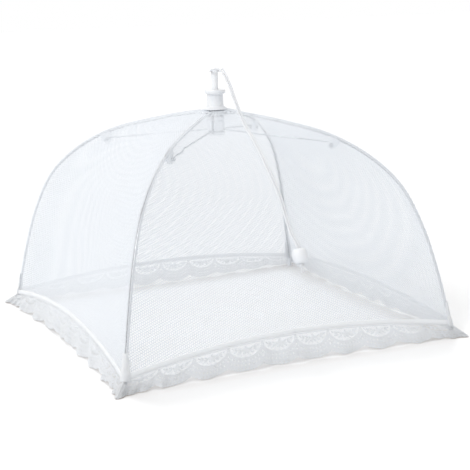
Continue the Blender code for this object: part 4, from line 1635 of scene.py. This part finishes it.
laceSettings = {
    "fanWidth": 35.0,
    "fanHeight": 26.0,
    "grid": 0.5,
    "thin": 0.00034,
    "thick": 0.00080,
    "edgeShare": 0.75,
    "edgeFade": 0.5,
    "tulleRows": 18,
    "tulleColumns": 22,
    "cornerFolds": 0.0018,
    "cornerReach": 0.05,
    "foldLength": 0.0125,
    "ripple": 0.0009,
    "cornerFall": 0.985,
    "fallReach": 0.016,
    "cornerGap": 0.0004,
    "gapReach": 0.010,
    "deepest": 1.03,
    "foldStart": 0.006,
    "foldLean": 0.6,
    "rippleWave": (0.0037, 1.9, 0.021),
    "rippleStart": 0.005,
    "tulleInset": 0.3,
}
# The fan's drawing, in millimetres from the middle of its top edge
fanDrawing = {
    "header": 0.9,
    "archWidth": 16.3,
    "archHeight": 11.6,
    "rim": 0.95,
    "scallopRise": 4.6,
    "edgeInset": 1.0,
    "picots": 13,
    "picotRadius": 0.85,
    "flower": (0.6, 6.0),
    "petalAway": 2.35,
    "petalLong": 2.0,
    "petalWide": 1.3,
    "petals": 5,
    "leaves": (
        (5.9, 4.3, 2.3, 1.0, -32.0),
        (6.3, 8.0, 2.3, 1.0, 24.0),
        (9.6, 3.6, 2.0, 0.95, -48.0),
        (10.6, 6.6, 1.9, 0.9, 16.0),
        (12.9, 2.9, 1.3, 0.8, -30.0),
    ),
    "stems": (
        ((2.6, 6.6), (8.0, 6.2)),
        ((8.0, 6.2), (13.6, 3.2)),
        ((0.0, 8.0), (0.0, 12.4)),
        ((3.4, 9.4), (5.2, 11.8)),
    ),
    "stem": 0.62,
    "eyelets": ((1.30, 19, 0.70), (1.62, 23, 0.78), (1.93, 27, 0.66)),
    "joinHoles": ((3.3, 0.95, 1.5), (9.2, 0.8, 1.0), (13.4, 0.9, 1.1)),
}


def ellipseInside(x, y, centre, long, wide, degrees):
    turn = math.radians(degrees)
    dx, dy = x - centre[0], y - centre[1]
    along = (dx * math.cos(turn) + dy * math.sin(turn)) / long
    aside = (-dx * math.sin(turn) + dy * math.cos(turn)) / wide
    return (1 - np.hypot(along, aside)) * min(long, wide)


def lineInside(x, y, first, last, width):
    ax, ay = first
    bx, by = last[0] - ax, last[1] - ay
    share = np.clip(((x - ax) * bx + (y - ay) * by) / (bx * bx + by * by), 0, 1)
    return width / 2 - np.hypot(x - ax - share * bx, y - ay - share * by)


def scallopEdge(x, drawing, settings):
    half = settings["fanWidth"] / 2
    bottom = settings["fanHeight"] - drawing["edgeInset"]
    return bottom - drawing["scallopRise"] * (np.abs(x) / half) ** 2.2


def fanInside(x, y, drawing, settings):
    # Above 0 where there is thread, about in millimetres from its edge; and how raised it is.
    half = settings["fanWidth"] / 2
    wide, high, head = drawing["archWidth"], drawing["archHeight"], drawing["header"]
    reach = np.hypot(x / wide, np.maximum(y - head, 0) / high)
    arch = (reach - 1) * high
    edge = scallopEdge(x, drawing, settings) - y
    dense = np.minimum(np.maximum(arch, head - y), edge)
    for count in range(drawing["picots"]):
        away = -half + 2 * half * (count + 0.5) / drawing["picots"]
        low = float(scallopEdge(away, drawing, settings)) - 0.1
        dense = np.maximum(dense, drawing["picotRadius"] - np.hypot(x - away, y - low))
    for scale, count, radius in drawing["eyelets"]:
        for step in range(count):
            turn = math.pi * (step + 0.5) / count
            cx, cy = wide * scale * math.cos(turn), head + high * scale * math.sin(turn)
            if abs(cx) > half - 1.6 or cy > scallopEdge(cx, drawing, settings) - 1.5:
                continue
            dense = np.minimum(dense, np.hypot(x - cx, y - cy) - radius)
    for cy, long, wideHole in drawing["joinHoles"]:
        for sign in (-1, 1):
            hole = ellipseInside(x, y, (sign * half, cy), wideHole, long, 90.0)
            dense = np.minimum(dense, -hole)
    rim = drawing["rim"] / 2 - np.abs(arch - drawing["rim"] / 2)
    rim = np.where(y > head - 0.4, rim, -1.0)
    fx, fy = drawing["flower"]
    away = drawing["petalAway"]
    bloom = away * 0.40 - np.hypot(x - fx, y - fy)
    for step in range(drawing["petals"]):
        degrees = -90.0 + 360.0 * step / drawing["petals"]
        turn = math.radians(degrees)
        centre = (fx + away * math.cos(turn), fy + away * math.sin(turn))
        petal = ellipseInside(x, y, centre, drawing["petalLong"], drawing["petalWide"], degrees)
        bloom = np.maximum(bloom, petal)
    for sign in (-1, 1):
        for cx, cy, long, wideLeaf, degrees in drawing["leaves"]:
            leaf = ellipseInside(x, y, (sign * cx, cy), long, wideLeaf, sign * degrees)
            bloom = np.maximum(bloom, leaf)
    stems = [
        lineInside(x, y, (sign * a[0], a[1]), (sign * b[0], b[1]), drawing["stem"])
        for sign in (-1, 1)
        for a, b in drawing["stems"]
    ]
    inside = np.maximum.reduce([dense, rim, bloom, *stems])
    raised = np.clip(np.maximum.reduce([rim * 1.2, bloom]) / 0.5, 0, 1)
    raised = np.maximum(raised, 0.6 * np.clip(1 - np.abs(edge - 0.7) / 0.7, 0, 1))
    return inside, raised


def drawFan(drawing, settings):
    # The fan's outline filled with small faces, cell by cell.
    half = settings["fanWidth"] / 2
    columns = int(round(settings["fanWidth"] / settings["grid"]))
    rows = int(round((settings["fanHeight"] + 0.5) / settings["grid"]))
    xs = np.linspace(-half, half, columns + 1)
    ys = np.linspace(0.0, rows * settings["grid"], rows + 1)
    x, y = np.meshgrid(xs, ys, indexing="ij")
    inside, _ = fanInside(x, y, drawing, settings)
    inside = np.where(np.abs(inside) < 0.02, 0.02 * np.where(inside < 0, -1, 1), inside)
    spots, faces, known = [], [], {}

    def spotOf(key, place):
        if key not in known:
            known[key] = len(spots)
            spots.append(place)
        return known[key]

    for i in range(columns):
        for j in range(rows):
            corners = ((i, j), (i + 1, j), (i + 1, j + 1), (i, j + 1))
            values = [inside[c] for c in corners]
            if max(values) <= 0:
                continue
            face = []
            for step in range(4):
                here, after = corners[step], corners[(step + 1) % 4]
                if values[step] > 0:
                    face.append(spotOf(here, (x[here], y[here])))
                low, high = values[step], values[(step + 1) % 4]
                if (low > 0) != (high > 0):
                    share = low / (low - high)
                    place = (
                        x[here] + (x[after] - x[here]) * share,
                        y[here] + (y[after] - y[here]) * share,
                    )
                    face.append(spotOf((min(here, after), max(here, after)), place))
            faces.append(face)
    return np.array(spots), faces


def fanPlace(across, settings):
    # Millimetres from the middle of the fan
    return ((across + 1) * shapeSettings["laceFans"] / 2 % 1 - 0.5) * settings["fanWidth"]


def laceMap(fall, across, settings):
    along = across * shapeSettings["laceCornerRadius"] / ridge
    return np.stack([along, fall * settings["fanHeight"] / 1000], -1)


def laceSurface(fall, across, settings):
    fall, across = np.broadcast_arrays(fall, across)
    fromCorner = (1 - np.abs(across)) * shapeSettings["laceCornerRadius"] / ridge
    # The scallops rise at a corner, so the lace there is cut longer, and its two ends meet
    edge = scallopEdge(fanPlace(across, settings), fanDrawing, settings) / settings["fanHeight"]
    longer = (settings["cornerFall"] - edge) * np.exp(-((fromCorner / settings["fallReach"]) ** 2))
    point = lacePoints(np.minimum(fall + longer * (fall / edge) ** 2, settings["deepest"]), across)
    closer = shapeSettings["seamGap"] - settings["cornerGap"]
    point[..., 1] += np.sign(across) * closer * np.exp(-((fromCorner / settings["gapReach"]) ** 2))
    bunch = np.exp(-fromCorner / settings["cornerReach"])
    bunch = bunch * fadeIn(fromCorner, settings["foldStart"])
    wave = np.sin(2 * math.pi * fromCorner / settings["foldLength"] + settings["foldLean"] * fall)
    point[..., 0] += settings["cornerFolds"] * fall * bunch * wave
    swing = unevenWave(point[..., 1], *settings["rippleWave"])
    swing = swing * fadeIn(fromCorner, settings["rippleStart"])
    point[..., 0] += settings["ripple"] * fall * swing
    return point


def laceNormals(fall, across, settings):
    step = 0.004
    down = [laceSurface(fall + away, across, settings) for away in (step, -step)]
    along = [laceSurface(fall, across + away, settings) for away in (step / 4, -step / 4)]
    normal = unit(np.cross(down[0] - down[1], along[0] - along[1]))
    return normal * np.sign(normal[..., :1])


def thickened(points, faces, normals, thickness):
    # Both faces of a cut-out sheet and the walls between them
    count = len(points)
    away = normals * (thickness / 2)[:, None]
    made = [tuple(face) for face in faces]
    made += [tuple(i + count for i in reversed(face)) for face in faces]
    edges = {}
    for face in faces:
        for first, last in zip(face, face[1:] + face[:1]):
            if (last, first) in edges:
                del edges[(last, first)]
            else:
                edges[(first, last)] = True
    made += [(last, first, first + count, last + count) for first, last in edges]
    return np.concatenate([points + away, points - away]), made


def fansInRow(half, fan, settings):
    # Half a side of fans, joined where they meet: places across and down, and faces
    spots, fanFaces = fan
    fans = shapeSettings["laceFans"] // 2
    known, places, faces = {}, [], []
    for count in range(fans):
        index = count if half < 0 else count + fans
        numbers = []
        for sx, sy in spots:
            middle = index + sx / settings["fanWidth"] + 0.5
            across = -1 + 2 * middle / shapeSettings["laceFans"]
            key = (round(across, 6), round(sy, 5))
            if key not in known:
                known[key] = len(places)
                places.append((across, sy / settings["fanHeight"]))
            numbers.append(known[key])
        faces += [[numbers[i] for i in face] for face in fanFaces]
    return np.array(places), faces


def makeEmbroidery(side, half, fan, settings):
    places, faces = fansInRow(half, fan, settings)
    across, fall = places[:, 0], places[:, 1]
    points = laceSurface(fall, across, settings)
    normals = laceNormals(fall, across, settings)
    fanY = fall * settings["fanHeight"]
    inside, raised = fanInside(fanPlace(across, settings), fanY, fanDrawing, settings)
    thickness = settings["thin"] + (settings["thick"] - settings["thin"]) * raised
    # Thinner towards its edges
    edge = settings["edgeShare"]
    thickness *= edge + (1 - edge) * np.clip(inside / settings["edgeFade"], 0, 1)
    solid, solidFaces = thickened(points, faces, normals, thickness)
    uvs = laceMap(fall, across, settings)
    name = halfName("lace_embroidery", side, half)
    solid = turned(solid, sideAzimuths[side])
    piece = meshPiece(name, solid, solidFaces, np.concatenate([uvs, uvs]))
    return foldWithRib(settle(piece, "lace_thread"))


def makeLace(side, half, fan, settings):
    embroidery = makeEmbroidery(side, half, fan, settings)
    columns = shapeSettings["laceFans"] // 2 * settings["tulleColumns"] + 1
    across = np.linspace(0.0, 1.0, columns)[None, :] * half
    lowest = scallopEdge(fanPlace(across, settings), fanDrawing, settings) - settings["tulleInset"]
    fall = np.linspace(0.0, 1.0, settings["tulleRows"])[:, None] * (lowest / settings["fanHeight"])
    across = np.broadcast_to(across, fall.shape)
    grid = laceSurface(fall, across, settings)
    name = halfName("lace_ground", side, half)
    points, uvs = turned(grid, sideAzimuths[side]), laceMap(fall, across, settings)
    ground = gridPiece(name, points, uvs, flip=half > 0)
    settle(ground, "lace_tulle", f"lace_trim_{side}")
    foldWithRib(ground)


fan = drawFan(fanDrawing, laceSettings)
for side in sideAzimuths:
    for half in (-1, 1):
        makeLace(side, half, fan, laceSettings)
print("lace made:", len(fan[1]), "faces in a fan")


# Lace corners: the ends of two frills, whipped together

cornerSeamSettings = {
    "radius": 0.00072,
    "sides": 10,
    "rows": 120,
    "start": 0.03,
    "end": 0.775,
    "turnPitch": 0.0014,
    "turnRise": 0.14,
}


def makeCornerSeam(settings):
    fall = np.linspace(settings["start"], settings["end"], settings["rows"])
    ends = [
        turned(laceSurface(fall, np.full(fall.shape, across), laceSettings), turn)
        for turn, across in ribSides
    ]
    line = (ends[0] + ends[1]) / 2
    line[:, 1] = 0.0
    points, places = tubeMesh(line, settings["radius"], settings["sides"])
    turns = 2 * math.pi * places[..., 1] / settings["turnPitch"]
    turns = turns - places[..., 0] / settings["radius"]
    wrap = 1 + settings["turnRise"] * np.sin(turns)
    points = line[:, None] + (points - line[:, None]) * wrap[..., None]
    return closeTube(gridPiece("seam", points, places))


spreadOverRibs(makeCornerSeam(cornerSeamSettings), "corner_seam", "lace_thread")
print("corners sewn")


# Bead and knot at the cord's end

beadSettings = {
    "radius": 0.0070,
    "length": 0.0130,
    "endRadius": 0.0036,
    "fullness": 0.8,
    "lip": 0.00035,
    "mouthRadius": 0.0025,
    "mouthDepth": 0.0020,
    "boreRadius": 0.0012,
    "sides": 56,
    "smooth": 50.0,
}
knotSettings = {
    "radius": 0.0027,
    "length": 0.0042,
    "cord": 0.00078,
    "sides": 10,
    "stations": 97,
    "depth": 0.26,
    "tail": 0.0042,
    "tailEnd": (0.0019, 0.0005),
    "tailBend": 0.0004,
}


def cordEnd():
    before, end = Vector(cordRoute[-2][1]), Vector(cordRoute[-1][1])
    along = (end - before).normalized()
    skew = abs(eyeletAside(cordRoute[-1][0]).dot(along))
    depth = skew + seatGap - beadSettings["mouthDepth"] + beadSettings["length"] / 2
    return end + along * depth, along


def hangOnCord(piece, middle, along):
    piece.rotation_mode = "QUATERNION"
    piece.rotation_quaternion = (-along).to_track_quat("Z", "Y")
    piece.location = middle
    return placeInMesh(piece)


def makeBead(settings):
    half, lip = settings["length"] / 2, settings["lip"]
    mouth, bore = settings["mouthRadius"], settings["boreRadius"]
    floor = half - settings["mouthDepth"]
    rings = [(mouth + lip * 0.3, half - lip * 0.4), (mouth + lip, half)]
    for degrees in range(84, -91, -6):
        turn = math.radians(degrees)
        swell = math.cos(turn) ** settings["fullness"]
        out = settings["endRadius"] + (settings["radius"] - settings["endRadius"]) * swell
        rings.append((out, half * math.sin(turn)))
    rings += [(bore + lip, -half), (bore, -half + lip), (bore, floor - lip)]
    rings += [(mouth - lip, floor), (mouth, floor + lip), rings[0]]
    bead = ringStack("cord_bead_turned", rings, settings["sides"])
    return shadeByAngle(bead, settings["smooth"])


def makeKnot(settings):
    # An overhand knot with its two cut ends
    turns = np.linspace(0.0, 2 * math.pi, settings["stations"])
    size = (settings["radius"] - settings["cord"]) / 3.0
    across = (np.sin(turns) + 2 * np.sin(2 * turns)) * size
    aside = (np.cos(turns) - 2 * np.cos(2 * turns)) * size
    rise = -np.sin(3 * turns) * settings["length"] * settings["depth"]
    lines = [np.stack([across, aside, rise], 1)]
    share = np.linspace(0.0, 1.0, 10)[:, None]
    low = -settings["length"] / 2
    away, beside = settings["tailEnd"]
    for sign in (-1.0, 1.0):
        end = np.array([sign * away, sign * beside, low - settings["tail"]])
        bend = np.array([sign * settings["tailBend"], 0.0, low])
        lines.append(2 * share * (1 - share) * bend + share**2 * end)
    return tubesPiece("cord_knot_tied", lines, settings["cord"], settings["sides"])


beadMiddle, cordAlong = cordEnd()
knotMiddle = beadMiddle + cordAlong * (
    beadSettings["length"] / 2 + seatGap + knotSettings["length"] / 2
)
bead = hangOnCord(makeBead(beadSettings), beadMiddle, cordAlong)
settle(bead, "moulded_plastic", "cord_bead", "cord")
knot = hangOnCord(makeKnot(knotSettings), knotMiddle, cordAlong)
settle(knot, "cord_braid", "cord_knot", "cord")


# Room: a white floor that keeps the shadow, with a painted contact shadow close to the object, a
# white world, soft lamps

roomSettings = {
    "floorSize": 14.0,
    "floorHeight": -0.0002,
    "floorColour": (0.900, 0.925, 0.950, 1.0),
    "floorGlow": (0.142, 0.117, 0.092, 1.0),
    # Close to the object the floor's colour is darkened towards this tone, over this reach: a
    # painted contact shadow
    "paintedShadowTone": (0.54, 0.52, 0.51, 1.0),
    "paintedShadowReach": 0.028,
    "worldLight": 0.58,
    "white": (1.0, 1.0, 1.0, 1.0),
    "lamps": {
        "key": {"energy": 1.25, "angle": 25.0, "from": (-1.0, -0.45, 0.9)},
        "back": {"energy": 0.80, "angle": 14.0, "from": (0.10, 0.75, 1.20)},
    },
}


def seenDirectly(tree):
    # 1 for what the camera sees itself, in a mirror or through glass, and 0 for light
    path = addNode(tree, "ShaderNodeLightPath").outputs
    seen = calc(tree, "MAXIMUM", path["Is Camera Ray"], path["Is Glossy Ray"])
    return calc(tree, "MAXIMUM", seen, path["Is Transmission Ray"])


def makeFloor(settings):
    freshSelection()
    place = (0.0, 0.0, settings["floorHeight"])
    bpy.ops.mesh.primitive_plane_add(size=settings["floorSize"], location=place)
    floor = placeInMesh(bpy.context.object)
    floor.name = "floor"
    made, tree, shader = newMaterial("white_floor")
    # Painted contact shadow: ambient occlusion darkens the floor's colour next to the object
    reach = {"Distance": settings["paintedShadowReach"]}
    near = addNode(tree, "ShaderNodeAmbientOcclusion", reach, samples=8).outputs["AO"]
    inputs = {
        "Base Color": mixTones(tree, near, settings["paintedShadowTone"], settings["floorColour"]),
        "Roughness": 0.9,
        "Specular IOR Level": 0.1,
        "Emission Color": settings["floorGlow"],
        "Emission Strength": seenDirectly(tree),
    }
    feed(tree, shader, inputs)
    floor.data.materials.append(made)


def makeWorld(settings):
    world = bpy.data.worlds.new("white_studio")
    bpy.context.scene.world = world
    world.use_nodes = True
    tree = world.node_tree
    tree.nodes.clear()
    soft, white = [
        addNode(tree, "ShaderNodeBackground", {"Color": settings["white"], "Strength": strength})
        for strength in (settings["worldLight"], 1.0)
    ]
    mixed = mixShaders(tree, seenDirectly(tree), soft.outputs[0], white.outputs[0])
    addNode(tree, "ShaderNodeOutputWorld", {"Surface": mixed})


def makeLamps(settings):
    for name, lamp in settings["lamps"].items():
        bpy.ops.object.light_add(type="SUN", location=lamp["from"])
        sun = bpy.context.object
        sun.name = name + "_lamp"
        sun.data.energy = lamp["energy"]
        sun.data.angle = math.radians(lamp["angle"])
        sun.rotation_mode = "QUATERNION"
        sun.rotation_quaternion = Vector(lamp["from"]).to_track_quat("Z", "Y")


makeFloor(roomSettings)
makeWorld(roomSettings)
makeLamps(roomSettings)
bpy.context.scene.view_settings.view_transform = "Standard"
freshSelection()
